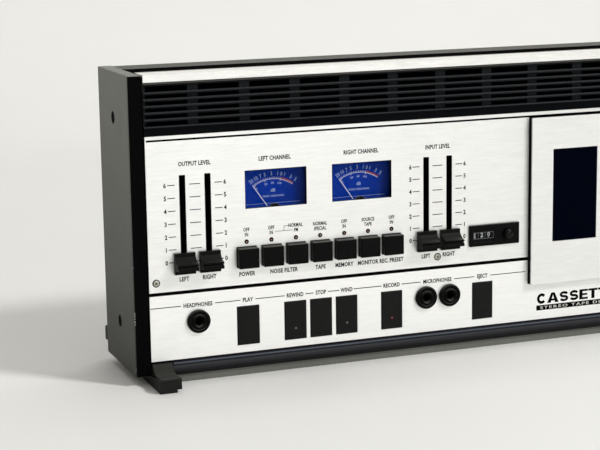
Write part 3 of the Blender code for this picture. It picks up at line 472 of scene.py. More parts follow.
def add_tick(bm, centre, inner, outer, angle, width, near, far):
    (x0, z0), (x1, z1) = polar(centre, inner, angle), polar(centre, outer, angle)
    turn = math.radians(angle)
    dx, dz = math.cos(turn) * width / 2, -math.sin(turn) * width / 2
    outline = [(x0 - dx, z0 - dz), (x0 + dx, z0 + dz), (x1 + dx, z1 + dz), (x1 - dx, z1 - dz)]
    add_outline(bm, outline, near, far)


AXES = {"X": (Vector((0, 1, 0)), Vector((0, 0, 1)), Vector((1, 0, 0))),
        "Y": (Vector((0, 0, 1)), Vector((1, 0, 0)), Vector((0, 1, 0)))}


def add_turned(bm, centre, axis, profile, steps=24, start=0.0):
    """A turned solid, from a profile of (radius, distance). Unless it ends at radius 0, it is a ring."""
    first, second, along = AXES[axis]
    centre = Vector(centre)
    rings = []
    for radius, distance in profile:
        base = centre + along * distance
        if radius == 0:
            rings.append([bm.verts.new(base)])
            continue
        ring = []
        for i in range(steps):
            turn = start + math.tau * i / steps
            ring.append(bm.verts.new(base + (first * math.cos(turn) + second * math.sin(turn)) * radius))
        rings.append(ring)
    pairs = list(zip(rings, rings[1:]))
    if profile[0][0] != 0:
        pairs.append((rings[-1], rings[0]))
    for low, high in pairs:
        for i in range(steps):
            j = (i + 1) % steps
            if len(low) == 1 and len(high) == 1:
                continue
            if len(low) == 1:
                bm.faces.new((low[0], high[j], high[i]))
            elif len(high) == 1:
                bm.faces.new((low[i], low[j], high[0]))
            else:
                bm.faces.new((low[i], low[j], high[j], high[i]))


def letter_mesh(text, spacing=1.0, weight=0.0):
    """The built-in letters as a flat mesh in X-Y, made heavier by a weight."""
    curve = bpy.data.curves.new("lettering", "FONT")
    curve.body = text
    curve.resolution_u = 2
    curve.space_character = spacing
    curve.extrude = 0.01
    curve.offset = weight
    holder = bpy.data.objects.new("lettering", curve)
    bpy.context.scene.collection.objects.link(holder)
    bpy.context.view_layer.update()
    data = bpy.data.meshes.new_from_object(holder.evaluated_get(bpy.context.evaluated_depsgraph_get()))
    bpy.data.objects.remove(holder)
    bpy.data.curves.remove(curve)
    return data


def capital_height():
    data = letter_mesh("H")
    tall = max(v.co.y for v in data.vertices) - min(v.co.y for v in data.vertices)
    bpy.data.meshes.remove(data)
    return tall


CAPITAL = capital_height()


def add_text(bm, text, x, z, height=0.0032, narrow=0.77, near=INK_FRONT, turn=0, weight=0.034, spacing=1.06):
    """Printed letters centred at a point, raised by the ink's thickness. Turn is clockwise, in degrees."""
    data = letter_mesh(text, spacing, weight)
    letters = bmesh.new()
    letters.from_mesh(data)
    bpy.data.meshes.remove(data)
    bmesh.ops.remove_doubles(letters, verts=letters.verts, dist=0.0005)
    low = min(v.co.x for v in letters.verts)
    high = max(v.co.x for v in letters.verts)
    size = height / CAPITAL
    angle = math.radians(turn)
    for vert in letters.verts:
        u, v, w = vert.co
        u = (u - (low + high) / 2) * size * narrow
        v = (v - CAPITAL / 2) * size
        vert.co = (x + u * math.cos(angle) + v * math.sin(angle),
                   near if w > 0 else near + PRINT,
                   z - u * math.sin(angle) + v * math.cos(angle))
    merge(bm, letters)


def merge(bm, other):
    """Adds one bmesh to another and frees it."""
    carrier = bpy.data.meshes.new("carrier")
    other.to_mesh(carrier)
    other.free()
    bm.from_mesh(carrier)
    bpy.data.meshes.remove(carrier)


# ---------------------------------------------------------------- printing on the panels


def button_middle(name):
    return middle_x(name + "_button")


ZERO_Z = 0.0953                  # the level scale's zero
SCALE_STEP = 0.010
TICK = 0.00064                   # thickness of its ticks
FIGURES = (0.0033, 0.86)         # height and narrowing of its figures
METER_TITLE_Z = 0.1711
SLIDER_WORDS_Z = 0.0817
BUTTON_WORDS_Z = 0.0812
SWITCH_WORDS_Z = (0.1162, 0.1123)
SMALL = (0.0027, 0.70)           # height and narrowing of the words over the buttons
THIN_LINE = 0.00035
METER_MIDDLE = [middle_x("meter_case_" + side) for side in SIDES]


def level_scale(text, lines, middle):
    """The two number columns and three columns of ticks beside a pair of sliders."""
    for i in range(7):
        z = ZERO_Z + SCALE_STEP * i
        for x in (middle - 0.0241, middle + 0.0240):
            add_text(text, str(i), x, z, *FIGURES)
        for start, stop in ((-0.0221, -0.0161), (-0.0046, 0.0042), (0.0158, 0.0218)):
            add_bar(lines, middle + start, middle + stop, z - TICK / 2, z + TICK / 2)


def print_control_panel():
    text, lines = bmesh.new(), bmesh.new()
    for names, title, title_z in ((KNOBS[:2], "OUTPUT LEVEL", 0.1712), (KNOBS[2:], "INPUT LEVEL", 0.1706)):
        left_x, right_x = (middle_x("knob_" + name) for name in names)
        middle = (left_x + right_x) / 2
        level_scale(text, lines, middle)
        add_text(text, title, middle, title_z)
        add_text(text, "LEFT", left_x - 0.0002, SLIDER_WORDS_Z)
        add_text(text, "RIGHT", right_x - 0.0002, SLIDER_WORDS_Z)
    for x, title in zip(METER_MIDDLE, ("LEFT CHANNEL", "RIGHT CHANNEL")):
        add_text(text, title, x - 0.0006, METER_TITLE_Z)
    under = (("power", "POWER"), ("tape_type", "TAPE"), ("memory", "MEMORY"), ("monitor", "MONITOR"),
             ("record_preset", "REC. PRESET"))
    for name, word in under:
        add_text(text, word, button_middle(name), BUTTON_WORDS_Z)
    first, second = button_middle("noise_filter"), button_middle("radio_filter")
    add_text(text, "NOISE FILTER", (first + second) / 2, BUTTON_WORDS_Z)
    over = (("power", "OFF", "IN"), ("noise_filter", "OFF", "IN"), ("tape_type", "NORMAL", "SPECIAL"),
            ("memory", "OFF", "IN"), ("monitor", "SOURCE", "TAPE"), ("record_preset", "OFF", "IN"))
    for name, *words in over:
        for word, z in zip(words, SWITCH_WORDS_Z):
            add_text(text, word, button_middle(name), z, *SMALL)
    add_text(text, "NORMAL", second - 0.0002, SWITCH_WORDS_Z[0] + 0.0005, *SMALL)
    add_text(text, "FM", second + 0.0002, SWITCH_WORDS_Z[1] + 0.0005, *SMALL)
    step_x, low_z, high_z = second - 0.0100, 0.11265, 0.1168
    add_bar(lines, first + 0.0034, second - 0.0026, low_z, low_z + THIN_LINE)
    add_bar(lines, step_x, step_x + THIN_LINE, low_z + 0.00015, high_z)
    add_bar(lines, step_x, step_x + 0.0038, high_z - THIN_LINE, high_z)
    add_bar(lines, PANEL_LOW.x + 0.0010, PANEL_HIGH.x, 0.1893, 0.1908)
    piece("control_lettering", text, BLACK_INK)
    piece("control_lines", lines, BLACK_INK)


def add_stroke(bm, points, width, near, far):
    """A band of even width along a path in X-Z, with mitred corners."""
    points = [Vector(point) for point in points]
    normals = []
    for first, second in zip(points, points[1:]):
        way = (second - first).normalized()
        normals.append(Vector((-way.y, way.x)))
    mitres = [(a + b) / (1 + a.dot(b)) for a, b in zip(normals, normals[1:])]
    offsets = [normals[0]] + mitres + [normals[-1]]
    one = [point + offset * width / 2 for point, offset in zip(points, offsets)]
    other = [point - offset * width / 2 for point, offset in zip(points, offsets)]
    for i in range(len(points) - 1):
        add_outline(bm, [tuple(one[i]), tuple(other[i]), tuple(other[i + 1]), tuple(one[i + 1])], near, far)


LETTER_WIDTH = {"C": 0.86, "A": 0.98, "S": 0.82, "E": 0.74, "T": 0.80}
LETTER_GAP = 0.05
BOLD = 0.275                     # stroke of the heading in cap heights


def add_heading(bm, word, left, low, length, height):
    """A word in heavy square-cut capitals."""
    wide = length / (sum(LETTER_WIDTH[letter] for letter in word) + LETTER_GAP * (len(word) - 1))
    cursor = left

    def spot(u, v):
        return cursor + u * wide, low + v * height

    def plate(outline):
        add_outline(bm, [spot(u, v) for u, v in outline], INK_FRONT, INK_BACK)

    def bowl(middle, radii, angles):
        turns = [math.radians(angle) for angle in angles]
        return [spot(middle[0] + radii[0] * math.cos(a), middle[1] + radii[1] * math.sin(a)) for a in turns]

    for letter in word:
        full = LETTER_WIDTH[letter]
        half, side = full / 2, full / 2 - BOLD / 2
        if letter == "T":
            plate([(0, 0.79), (full, 0.79), (full, 1), (0, 1)])
            left_u, right_u = half - BOLD / 2, half + BOLD / 2
            plate([(left_u, 0), (right_u, 0), (right_u, 0.79), (left_u, 0.79)])
        elif letter == "E":
            plate([(0, 0), (BOLD, 0), (BOLD, 1), (0, 1)])
            for bottom, top, reach in ((0, 0.20, full), (0.40, 0.59, full * 0.94), (0.80, 1, full)):
                plate([(BOLD, bottom), (reach, bottom), (reach, top), (BOLD, top)])
        elif letter == "A":
            leg = [(0, 0), (BOLD * 1.1, 0), (half, 0.78), (half, 1), (half - 0.14, 1)]
            plate(leg)
            plate([(full - u, v) for u, v in reversed(leg)])
            plate([(half * 0.55, 0.19), (half * 1.45, 0.19), (half * 1.27, 0.38), (half * 0.73, 0.38)])
        elif letter == "C":
            path = bowl((half, 0.5), (side, 0.5 - BOLD * 0.42), range(40, 321, 20))
            add_stroke(bm, path, BOLD * height, INK_FRONT, INK_BACK)
        elif letter == "S":
            rise = (0.5 - BOLD * 0.42) / 2
            path = bowl((half, 0.5 + rise), (side, rise), range(15, 271, 15))
            path += bowl((half, 0.5 - rise), (side, rise), range(75, -166, -15))
            add_stroke(bm, path, BOLD * 0.88 * height, INK_FRONT, INK_BACK)
        cursor += (full + LETTER_GAP) * wide


RULE_Z = 0.0605                  # the line that runs through the words over the keys
RULE = 0.00064
BADGE_X = span("lid_plate")[0].x + 0.0081


def print_key_panel():
    text, lines = bmesh.new(), bmesh.new()
    labels = [("HEADPHONES", middle_x("headphone_jack")), ("MICROPHONES", middle_x("microphone_jacks"))]
    labels += [(name.upper(), middle_x(name + "_key")) for name in KEYS]
    labels.sort(key=lambda entry: entry[1])
    low_z, high_z = RULE_Z - RULE / 2, RULE_Z + RULE / 2
    cursor = KEYS_LOW.x + 0.0004
    for word, x in labels:
        half = 0.00126 * len(word) + 0.0012
        add_text(text, word, x, RULE_Z, 0.0031)
        if x - half > cursor:
            add_bar(lines, cursor, x - half, low_z, high_z)
        cursor = x + half
    add_bar(lines, cursor, span("lid_plate")[0].x - 0.0026, low_z, high_z)
    add_bar(lines, BADGE_X, BADGE_X + 0.0765, 0.0260, 0.0303)
    piece("key_lettering", text, BLACK_INK)
    piece("key_lines", lines, BLACK_INK)
    heading, small = bmesh.new(), bmesh.new()
    add_heading(heading, "CASSETTE", BADGE_X + 0.0002, 0.0316, 0.0762, 0.0086)
    piece("deck_heading", heading, BLACK_INK)
    add_text(small, "STEREO TAPE DECK", BADGE_X + 0.0382, 0.0281, 0.0023, 1.9, INK_FRONT - PRINT, weight=0.0,
             spacing=1.25)
    piece("deck_subheading", small, WHITE_PLASTIC)


def key_dots():
    """The small ring on the winding keys and the red one on the recording key."""
    ring = [(0.0004, 0), (0.0009, 0), (0.0009, PRINT), (0.0004, PRINT)]
    for name, colour in (("rewind", GREY_INK), ("wind", GREY_INK), ("record", RED_INK)):
        low, high = span(name + "_key")
        bm = bmesh.new()
        add_turned(bm, ((low.x + high.x) / 2, low.y - PRINT, low.z + 0.0090), "Y", ring, 16)
        piece(name + "_key_dot", bm, colour, name + "_key")


print_control_panel()
print_key_panel()
key_dots()

# ---------------------------------------------------------------- level meters
WINDOW_HALF = 0.0255
WINDOW_Z = (0.1325, 0.1625)
PIVOT_Z = 0.1248
DIAL_DEPTH = 0.0042              # the dial's seat behind the case's front
DIAL_NUMBERS = ((-33.0, "20"), (-25.0, "10"), (-18.0, "7"), (-11.5, "5"), (-1.9, "3"), (7.2, "1"),
                (12.6, "0"), (17.4, "1"), (27.1, "3"), (35.0, "5"))
DIAL_PERCENT = ((-32.0, "0"), (-13.3, "20"), (-0.8, "50"), (12.6, "100"))
ARC = 0.0293                     # middle radius of the comb-shaped scale
BAND = 0.0015                    # its width
TEETH = 16
FIRST, ZERO, LAST = -34.5, 12.0, 35.0


def meter_scale(side, x, near, far):
    """The printed scale of one meter: a white comb, a red band, figures and words."""
    centre = (x, PIVOT_Z)
    inner = ARC - BAND / 2
    white, red, pale = bmesh.new(), bmesh.new(), bmesh.new()
    add_arc(white, centre, inner, 0.00030, FIRST, ZERO, near, far)
    for i in range(TEETH + 1):
        add_tick(white, centre, inner, ARC + BAND / 2, FIRST + (ZERO - FIRST) * i / TEETH, 0.00030, near, far)
    for angle, word in DIAL_PERCENT:
        add_text(pale, word, *polar(centre, ARC - 0.0039, angle), 0.0015, 1.1, near, angle)
        if word != "50":
            add_tick(white, centre, inner - 0.0012, inner, angle, 0.00036, near, far)
    for angle, word in DIAL_NUMBERS:
        add_text(pale, word, *polar(centre, ARC + 0.0036, angle), 0.0029, 0.80, near, angle, 0.02)
    add_arc(white, centre, inner - 0.0001, 0.00038, ZERO, LAST, near, far)
    add_arc(red, centre, ARC + 0.0001, 0.0012, ZERO + 0.6, LAST, near, far)
    add_text(pale, "dB", x, WINDOW_Z[0] + 0.0119, 0.0024, 1.0, near)
    add_text(pale, "PEAK READING", x + 0.0003, WINDOW_Z[0] + 0.0074, 0.0014, 1.2, near)
    piece("dial_scale_" + side, white, WHITE_INK)
    piece("dial_figures_" + side, pale, PALE_INK)
    piece("dial_red_" + side, red, RED_INK)


def meter_dial(side, x):
    """The dial, the shaded cover over the needle's hub, the inner ledge in a light blue that paints a
    reflection, a painted reflection streak, and the rim of one meter.
    """
    low, high = span("meter_case_" + side)
    floor = low.y + DIAL_DEPTH
    near, far = floor - 0.0006 - PRINT, floor - 0.0006
    left, right, sill = x - WINDOW_HALF, x + WINDOW_HALF, WINDOW_Z[0]
    plate, ledge, line, hub, hoop, rim = (bmesh.new() for _ in range(6))
    wall = 0.0017
    add_block(plate, (low.x + wall, far, low.z + wall), (high.x - wall, floor - 0.0001, high.z - wall))
    piece("meter_dial_" + side, plate, dial_blue("dial_blue_" + side, x, WINDOW_HALF))
    meter_scale(side, x, near, far)
    front, back = high.y - 0.0242, floor - 0.0008
    # an inner ledge whose light blue is a painted reflection
    add_block(ledge, (left + 0.0004, front, sill - 0.0008), (right - 0.0004, back, sill + 0.0001))
    piece("meter_ledge_" + side, ledge, LEDGE_REFLECTION_BLUE)
    # painted reflection: a pale streak across the bottom of the dial
    add_bar(line, left + 0.0010, right - 0.0030, sill + 0.0016, sill + 0.0019, near, far)
    piece("meter_reflection_streak_" + side, line, PALE_INK)
    hub_at = (x, floor - 0.0040, sill - 0.0034)
    cap = [(0, 0), (0.0050, 0), (0.0056, 0.0003), (0.0056, 0.0008), (0, 0.0008)]
    add_turned(hub, hub_at, "Y", cap, 40)
    piece("meter_hub_cover_" + side, hub, SATIN_BLACK, smooth=30)
    ring = [(0.0055, -0.0001), (0.0057, 0.0001), (0.0057, 0.0004), (0.0055, 0.0002)]
    add_turned(hoop, hub_at, "Y", ring, 40)
    piece("meter_hub_hoop_" + side, hoop, GREY_INK, smooth=40)
    opening = (left + 0.0004, right - 0.0004, sill + 0.0002, WINDOW_Z[1] - 0.0004)
    add_frame(rim, (left, right, *WINDOW_Z), opening, FACE_Y + 0.00003, PANEL_HIGH.y)
    piece("meter_rim_" + side, rim, FRAME_BLACK)
    node_skin(["meter_case_" + side], METER_CASE)


for side, x in zip(SIDES, METER_MIDDLE):
    meter_dial(side, x)

# ---------------------------------------------------------------- small hardware on the front
LAMP_Z = 0.1067
SCREW_RADIUS = 0.0023
FRONT_SCREWS = ((-0.2143, 0.4), (0.0228, 1.4))   # each screw's place along X and turn of its cross
FRONT_SCREW_Z = 0.0802


def lamps():
    domes, rings, glints = bmesh.new(), bmesh.new(), bmesh.new()
    dome = [(0, -0.0006), (0.0004, -0.00055), (0.0007, -0.0004), (0.0009, -0.0001), (0.0010, 0.0004),
            (0.0010, 0.0012), (0, 0.0012)]
    ring = [(0.0011, -0.0002), (0.0014, -0.0003), (0.0018, -0.0002), (0.0018, -0.00002), (0.00138, -0.00002),
            (0.00138, 0.0010), (0.0011, 0.0010)]
    glint = [(0, 0), (0.00042, 0.00004), (0.00042, 0.0003), (0, 0.0003)]
    for name in BUTTONS:
        x = button_middle(name)
        add_turned(domes, (x, FACE_Y, LAMP_Z), "Y", dome, 16)
        add_turned(rings, (x, FACE_Y, LAMP_Z), "Y", ring, 20)
        # painted glint: a small pale disc on each lamp stands for a reflected highlight
        add_turned(glints, (x - 0.0001, FACE_Y - 0.00062, LAMP_Z - 0.0001), "Y", glint, 12)
    piece("lamp_glints", glints, LAMP_GLINT, smooth=50)
    piece("lamp_domes", domes, LAMP_LENS, smooth=50)
    piece("lamp_rings", rings, SATIN_BLACK, smooth=40)


def cross_screw(heads, slots, at, radius, turn):
    """A countersunk head and the dark cross of its recess, as a thin inlay of painted shade."""
    profile = [(0, 0), (radius * 0.80, 0), (radius * 0.95, radius * 0.06), (radius, radius * 0.16),
               (radius, radius * 0.3), (0, radius * 0.3)]
    add_turned(heads, at, "Y", profile, 28)
    length, width = radius * 0.62, radius * 0.13
    for angle in (turn, turn + math.pi / 2):
        c, s = math.cos(angle), math.sin(angle)
        corners = [(-length, -width), (length, -width), (length, width), (-length, width)]
        cross = [(at[0] + u * c - v * s, at[2] + u * s + v * c) for u, v in corners]
        add_outline(slots, cross, at[1] - 0.00004, at[1] + 0.00001)


def front_screws():
    heads, slots, wells = bmesh.new(), bmesh.new(), bmesh.new()
    well = [(0.0024, -0.00006), (0.0031, -0.00006), (0.0031, -0.00001), (0.0024, -0.00001)]
    for x, turn in FRONT_SCREWS:
        cross_screw(heads, slots, (x, FACE_Y - 0.0007, FRONT_SCREW_Z), SCREW_RADIUS, turn)
        add_turned(wells, (x, FACE_Y, FRONT_SCREW_Z), "Y", well, 28)
    piece("front_screw_heads", heads, ZINC, smooth=30)
    # painted shade: the dark crosses of the screw recesses
    piece("front_screw_recess_shade", slots, FRAME_BLACK)
    piece("front_screw_wells", wells, BLACK_INK)


def socket_details():
    """The stepped rim and the sleeve of each socket."""
    rims, sleeves = bmesh.new(), bmesh.new()
    low, high = span("headphone_jack")
    double_low, double_high = span("microphone_jacks")
    radius = (high.x - low.x) / 2
    rim = [(0.0034, -0.0002), (0.0040, -0.0010), (0.0047, -0.0013), (0.0054, -0.0010), (0.0058, -0.0003),
           (0.0066, -0.0003), (0.0070, -0.0008), (0.0078, -0.0010), (0.0086, -0.0007), (0.0090, -0.00005),
           (0.0034, -0.00005)]
    sleeve = [(0.0029, 0.0010), (0.00322, 0.0010), (0.00322, 0.0090), (0.0029, 0.0090)]
    for x in ((low.x + high.x) / 2, double_low.x + radius, double_high.x - radius):
        at = (x, low.y, (low.z + high.z) / 2)
        add_turned(rims, at, "Y", rim, 48)
        add_turned(sleeves, at, "Y", sleeve, 32)
    piece("socket_rims", rims, SATIN_BLACK, smooth=35)
    piece("socket_sleeves", sleeves, FRAME_BLACK, smooth=35)


def counter_figures():
    """Ten figures on each of the three wheels, and the gaps between the wheels."""
    low, high = span("counter_wheels")
    centre = (low + high) / 2
    radius = (high.z - low.z) / 2
    digits, gaps = bmesh.new(), bmesh.new()
    first_x = low.x + 0.0006
    wheel = (high.x - low.x - 0.0012) / 3
    for column, shown in enumerate((1, 2, 0)):
        x = first_x + wheel * (column + 0.5)
        for number in range(10):
            flat = bmesh.new()
            add_text(flat, str((number + shown) % 10), 0, 0, 0.0034, 0.95, 0.0, weight=0.04)
            rim = Matrix.Translation((0, -radius - PRINT, 0))
            turn = Matrix.Rotation(math.radians(36 * number), 4, "X")
            place = Matrix.Translation((x, centre.y, centre.z)) @ turn @ rim
            bmesh.ops.transform(flat, matrix=place, verts=flat.verts)
            merge(digits, flat)
    inner, outer, half = radius - 0.0004, radius + 0.0001, 0.0003
    gap = [(inner, -half), (outer, -half), (outer, half), (inner, half)]
    for i in range(4):
        add_turned(gaps, (first_x + wheel * i, centre.y, centre.z), "X", gap, 40)
    piece("counter_figures", digits, WHITE_INK, "counter_digits")
    piece("counter_wheel_gaps", gaps, GREY_INK, "counter_digits")


def counter_surround():
    """The mask round the counter's figures, its thin bright edge, and the dome of the reset button."""
    low, high = span("counter_wheels")
    centre = (low + high) / 2
    radius = (high.z - low.z) / 2
    front = span("counter_body")[0].y + 0.0006
    x0, x1 = low.x - 0.0005, high.x + 0.0005
    sill, head = centre.z - 0.0024, centre.z + 0.0024
    mask, edge, dome = bmesh.new(), bmesh.new(), bmesh.new()
    outer = (x0, x1, centre.z - radius - 0.0004, centre.z + radius + 0.0004)
    add_frame(mask, outer, (x0 + 0.0016, x1 - 0.0016, sill, head), front, front + 0.0010)
    piece("counter_mask", mask, SATIN_BLACK)
    outer = (x0 + 0.0014, x1 - 0.0014, sill - 0.0003, head + 0.0003)
    add_frame(edge, outer, (x0 + 0.0017, x1 - 0.0017, sill, head), front - 0.00015, front)
    piece("counter_mask_edge", edge, GREY_INK)
    low, high = span("counter_reset_button")
    radius = (high.x - low.x) / 2 - 0.0006
    rise = 0.0015
    turns = [math.pi / 2 * i / 8 for i in range(1, 9)]
    curve = [(0, -rise)] + [(radius * math.sin(a), -rise * math.cos(a)) for a in turns] + [(0, 0)]
    add_turned(dome, ((low.x + high.x) / 2, low.y + 0.0002, (low.z + high.z) / 2), "Y", curve, 36)
    piece("reset_button_dome", dome, GLOSS_BLACK, "counter_reset", 60)


SLOT_Z = (0.0879, 0.1627)        # the slider slots
SLOT_HALF = 0.0023
LINING = 0.0003
SEAL = (0.0013, 0.0026)          # the felt's edges beside a slider's blade


def slot_linings():
    """Black linings with a small lip, and felt seals, in the slider slots."""
    liners, felt = bmesh.new(), bmesh.new()
    low_z, high_z = SLOT_Z
    front, back = FACE_Y - 0.00003, PANEL_HIGH.y
    for x in (middle_x("knob_" + name) for name in KNOBS):
        for side in (-1, 1):
            edge = x + side * SLOT_HALF
            left, right = sorted((edge, edge - side * LINING))
            add_block(liners, (left, front, low_z), (right, back, high_z))
            left, right = sorted((edge, edge + side * 0.0002))
            add_block(liners, (left, front, low_z + 0.0002), (right, FACE_Y - 0.00001, high_z - 0.0002))
            left, right = sorted(x + side * reach for reach in SEAL)
            add_block(felt, (left, back + 0.0001, low_z - 0.001), (right, back + 0.0005, high_z + 0.001))
        left, right = x - SLOT_HALF + LINING, x + SLOT_HALF - LINING
        add_block(liners, (left, front, high_z - LINING), (right, back, high_z))
        add_block(liners, (left, front, low_z), (right, back, low_z + LINING))
    piece("slot_linings", liners, FRAME_BLACK)
    piece("slot_felt", felt, FRAME_BLACK)


def dark_strips():
    """The black strip between the two panels, and the tape along each side panel's front edge."""
    strip = bmesh.new()
    left, right = KEYS_LOW.x + 0.0002, span("lid_plate")[0].x - 0.0006
    low_z, high_z, skin = KEYS_HIGH.z, PANEL_LOW.z, FACE_Y - 0.00001
    add_block(strip, (left, FACE_Y - 0.00006, low_z - 0.0001), (right, skin, high_z + 0.0002))
    add_block(strip, (left, skin, low_z + 0.00002), (right, FACE_Y + 0.0021, high_z - 0.00002))
    piece("panel_joint_strip", strip, FRAME_BLACK)
    for side in SIDES:
        low, high = span(side + "_side_panel")
        tape = bmesh.new()
        left, right = (low.x + 0.0006, high.x) if side == "left" else (low.x, high.x - 0.0006)
        add_block(tape, (left, low.y - 0.0001, low.z + 0.0006), (right, low.y + 0.0008, high.z - 0.0005))
        piece("edge_tape_" + side, tape, EDGE_BLACK)


# Each chip's height above the floor, width and length.
EDGE_CHIPS = ((0.0583, 0.0007, 0.0007), (0.0562, 0.0005, 0.0012), (0.0541, 0.0009, 0.0005),
              (0.0516, 0.0006, 0.0013), (0.0495, 0.0008, 0.0006), (0.0940, 0.0004, 0.0005),
              (0.1497, 0.0004, 0.0004))


def side_details():
    """Black discs near the mouths of the side panels' screw holes as painted shade for the holes and the
    screws deep in them, and the chips on the left panel's front edge.
    """
    plugs, chips = bmesh.new(), bmesh.new()
    # painted shade: black discs that close the screw holes from view
    plug = [(0, 0), (0.0039, 0), (0.0039, 0.0006), (0, 0.0006)]
    for side in SIDES:
        low, high = span(side + "_side_panel")
        x = low.x + 0.0004 if side == "left" else high.x - 0.0010
        for z in SIDE_SCREW_Z:
            add_turned(plugs, (x, SIDE_SCREW_Y, z), "X", plug, 28)
    piece("side_hole_shade", plugs, FRAME_BLACK)
    low = span("left_side_panel")[0]
    left, front = low.x + 0.0002, low.y
    for z, wide, tall in EDGE_CHIPS:
        add_block(chips, (left, front - 0.00014, z - tall / 2), (left + wide, front + 0.0004, z + tall / 2))
    piece("edge_chips", chips, CHIP_GREY)


def grille_backing():
    """A near-black sheet behind the louvres, painted shade for the dark gaps."""
    low, high = span("vent_grille")
    x, back = high.x - 0.0030, high.y
    bm = bmesh.new()
    add_block(bm, (-x, back + 0.0003, low.z + 0.0010), (x, back + 0.0009, high.z - 0.0010))
    piece("grille_shade_sheet", bm, SHADE_BLACK)


side_details()
grille_backing()
slot_linings()
dark_strips()
lamps()
front_screws()
socket_details()
counter_figures()
counter_surround()

# ---------------------------------------------------------------- top, back and underside
SLATS = 54
CONNECTORS = (0.060, 0.200, 0.030, 0.082)        # x0, x1, z0, z1 of the connector plate
ROUND_SOCKET = (0.174, 0.056)
INLET_X = -0.175
COVER_SCREW_X = (-0.190, -0.060, 0.060, 0.190)
COVER_SCREW_Z = (0.020, 0.222)


def ring_profile(inner, outer, height):
    return [(inner, 0), (outer, 0), (outer, height), (inner, height)]


def top_vent():
    """The black slotted strip in the recess behind the top trim."""
    low, high = span("rear_cover")
    x = high.x - 0.0030
    near, far = low.y + 0.0020, low.y + 0.0205
    base = high.z - 0.0038
    bm = bmesh.new()
    add_block(bm, (-x, near, base), (x, far, base + 0.0006))
    for i in range(SLATS):
        left = -x + 0.004 + (2 * x - 0.008) * i / SLATS
        add_block(bm, (left, near + 0.0020, base + 0.0006), (left + 0.0040, far - 0.0020, base + 0.0018))
    piece("top_vent_strip", bm, FRAME_BLACK)


def rear_details():
    """The connector plate, its sockets, the mains inlet, the cover's screws, and its vents as thin dark
    patches of painted shade.
    """
    wall = span("rear_cover")[1].y
    seat = wall + 0.0010
    plate, sockets, metal, slots = bmesh.new(), bmesh.new(), bmesh.new(), bmesh.new()
    x0, x1, z0, z1 = CONNECTORS
    add_block(plate, (x0, wall + 0.0001, z0), (x1, seat, z1))
    sleeve = [(0.0028, 0), (0.0037, 0), (0.0037, 0.0062), (0.0033, 0.0066), (0.0028, 0.0066)]
    for i in range(4):
        for row in range(2):
            at = (0.082 + 0.018 * i, seat, 0.045 + 0.020 * row)
            add_turned(sockets, at, "Y", ring_profile(0.0038, 0.0060, 0.0014), 28)
            add_turned(metal, at, "Y", sleeve, 28)
    at = (ROUND_SOCKET[0], seat, ROUND_SOCKET[1])
    collar = [(0.0070, 0), (0.0092, 0), (0.0092, 0.0024), (0.0086, 0.0030), (0.0070, 0.0030)]
    add_turned(metal, at, "Y", collar, 36)
    add_turned(sockets, at, "Y", ring_profile(0, 0.0069, 0.0008), 36)
    add_block(sockets, (INLET_X - 0.015, wall + 0.0001, 0.034), (INLET_X + 0.015, wall + 0.0028, 0.054))
    pin = [(0, 0), (0.0012, 0), (0.0012, 0.0020), (0, 0.0026)]
    for x in (INLET_X - 0.005, INLET_X + 0.005):
        add_turned(metal, (x, wall + 0.0028, 0.044), "Y", pin, 16)
    head = [(0, 0), (0.0032, 0), (0.0030, 0.0010), (0.0016, 0.0017), (0, 0.0018)]
    for x in COVER_SCREW_X:
        for z in COVER_SCREW_Z:
            add_turned(metal, (x, wall, z), "Y", head, 24)
    # painted shade: the vents are thin black patches that stand for dark slots
    for i in range(26):
        x = -0.125 + 0.010 * i
        add_block(slots, (x, wall + 0.00001, 0.150), (x + 0.0034, wall + 0.0001, 0.200))
    piece("connector_plate", plate, BLACK)
    piece("rear_sockets", sockets, SATIN_BLACK, smooth=40)
    piece("rear_metalwork", metal, ZINC, smooth=40)
    piece("rear_vent_shade", slots, FRAME_BLACK)


top_vent()
rear_details()

# ---------------------------------------------------------------- camera, floor and light
CAMERA_AT = (-0.564086, -1.280279, 0.372333)
YAW, PITCH, ROLL = (math.radians(a) for a in (20.58176, 10.89142, -0.86201))
LENS = 103.656
REACH = 6.0                      # half the backdrop's width
SWEEP_Y, SWEEP = 1.15, 0.4       # where the floor starts to rise, and the curve's radius
WALL_TOP = 4.0
BACKDROP = surface("backdrop", (0.735, 0.735, 0.725), (0.76, 0.76, 0.75), (0.6, 0.7), stretch=(3, 3, 3))


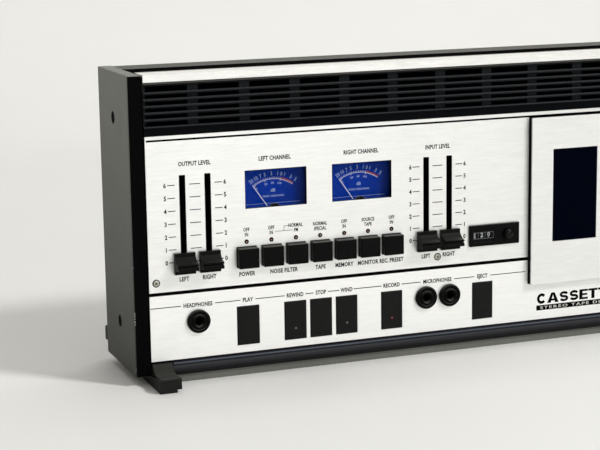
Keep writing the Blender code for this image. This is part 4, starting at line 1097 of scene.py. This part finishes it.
def add_camera():
    ahead = Vector((math.sin(YAW) * math.cos(PITCH), math.cos(YAW) * math.cos(PITCH), -math.sin(PITCH)))
    right = Vector((math.cos(YAW), -math.sin(YAW), 0))
    up = right.cross(ahead)
    side = right * math.cos(ROLL) + up * math.sin(ROLL)
    top = up * math.cos(ROLL) - right * math.sin(ROLL)
    data = bpy.data.cameras.new("camera")
    data.lens = LENS
    data.sensor_width = 36.0
    data.clip_start = 0.05
    obj = bpy.data.objects.new("camera", data)
    turn = Matrix((side, top, -ahead)).transposed().to_4x4()
    obj.matrix_world = Matrix.Translation(CAMERA_AT) @ turn
    bpy.context.scene.collection.objects.link(obj)
    bpy.context.scene.camera = obj


def backdrop():
    """A pale floor that sweeps up into a wall."""
    bm = bmesh.new()
    turns = [math.pi / 2 * i / 12 for i in range(1, 13)]
    line = [(-REACH, 0.0), (SWEEP_Y, 0.0)]
    line += [(SWEEP_Y + SWEEP * math.sin(a), SWEEP - SWEEP * math.cos(a)) for a in turns]
    line.append((SWEEP_Y + SWEEP, WALL_TOP))
    rows = [[bm.verts.new((x, y, z)) for x in (-REACH, REACH)] for y, z in line]
    for near, far in zip(rows, rows[1:]):
        bm.faces.new((near[0], near[1], far[1], far[0]))
    data = bpy.data.meshes.new("backdrop")
    bm.to_mesh(data)
    bm.free()
    data.shade_smooth()
    data.materials.append(BACKDROP)
    obj = bpy.data.objects.new("backdrop", data)
    bpy.context.scene.collection.objects.link(obj)


def area_light(name, at, target, size, power, colour=(1, 1, 1)):
    data = bpy.data.lights.new(name, "AREA")
    data.shape = "RECTANGLE"
    data.size, data.size_y = size
    data.energy = power
    data.color = colour
    obj = bpy.data.objects.new(name, data)
    obj.location = at
    obj.rotation_euler = (Vector(target) - Vector(at)).to_track_quat("-Z", "Y").to_euler()
    bpy.context.scene.collection.objects.link(obj)


def world_light():
    world = bpy.data.worlds.new("studio")
    world.use_nodes = True
    back = world.node_tree.nodes["Background"]
    back.inputs["Color"].default_value = (1.0, 0.975, 0.895, 1.0)
    back.inputs["Strength"].default_value = 0.385
    bpy.context.scene.world = world


add_camera()
backdrop()
world_light()
area_light("key", (1.78, -1.96, 2.36), (0, 0, 0.08), (0.56, 0.56), 84, (1.0, 0.995, 0.978))
area_light("fill", (0.55, -2.9, 0.95), (-0.1, 0, 0.12), (1.3, 0.8), 13.8)
area_light("wall", (0.4, 0.9, 2.9), (0.2, 2.0, 0.6), (3.0, 0.8), 22)
bpy.context.scene.view_settings.view_transform = "Standard"
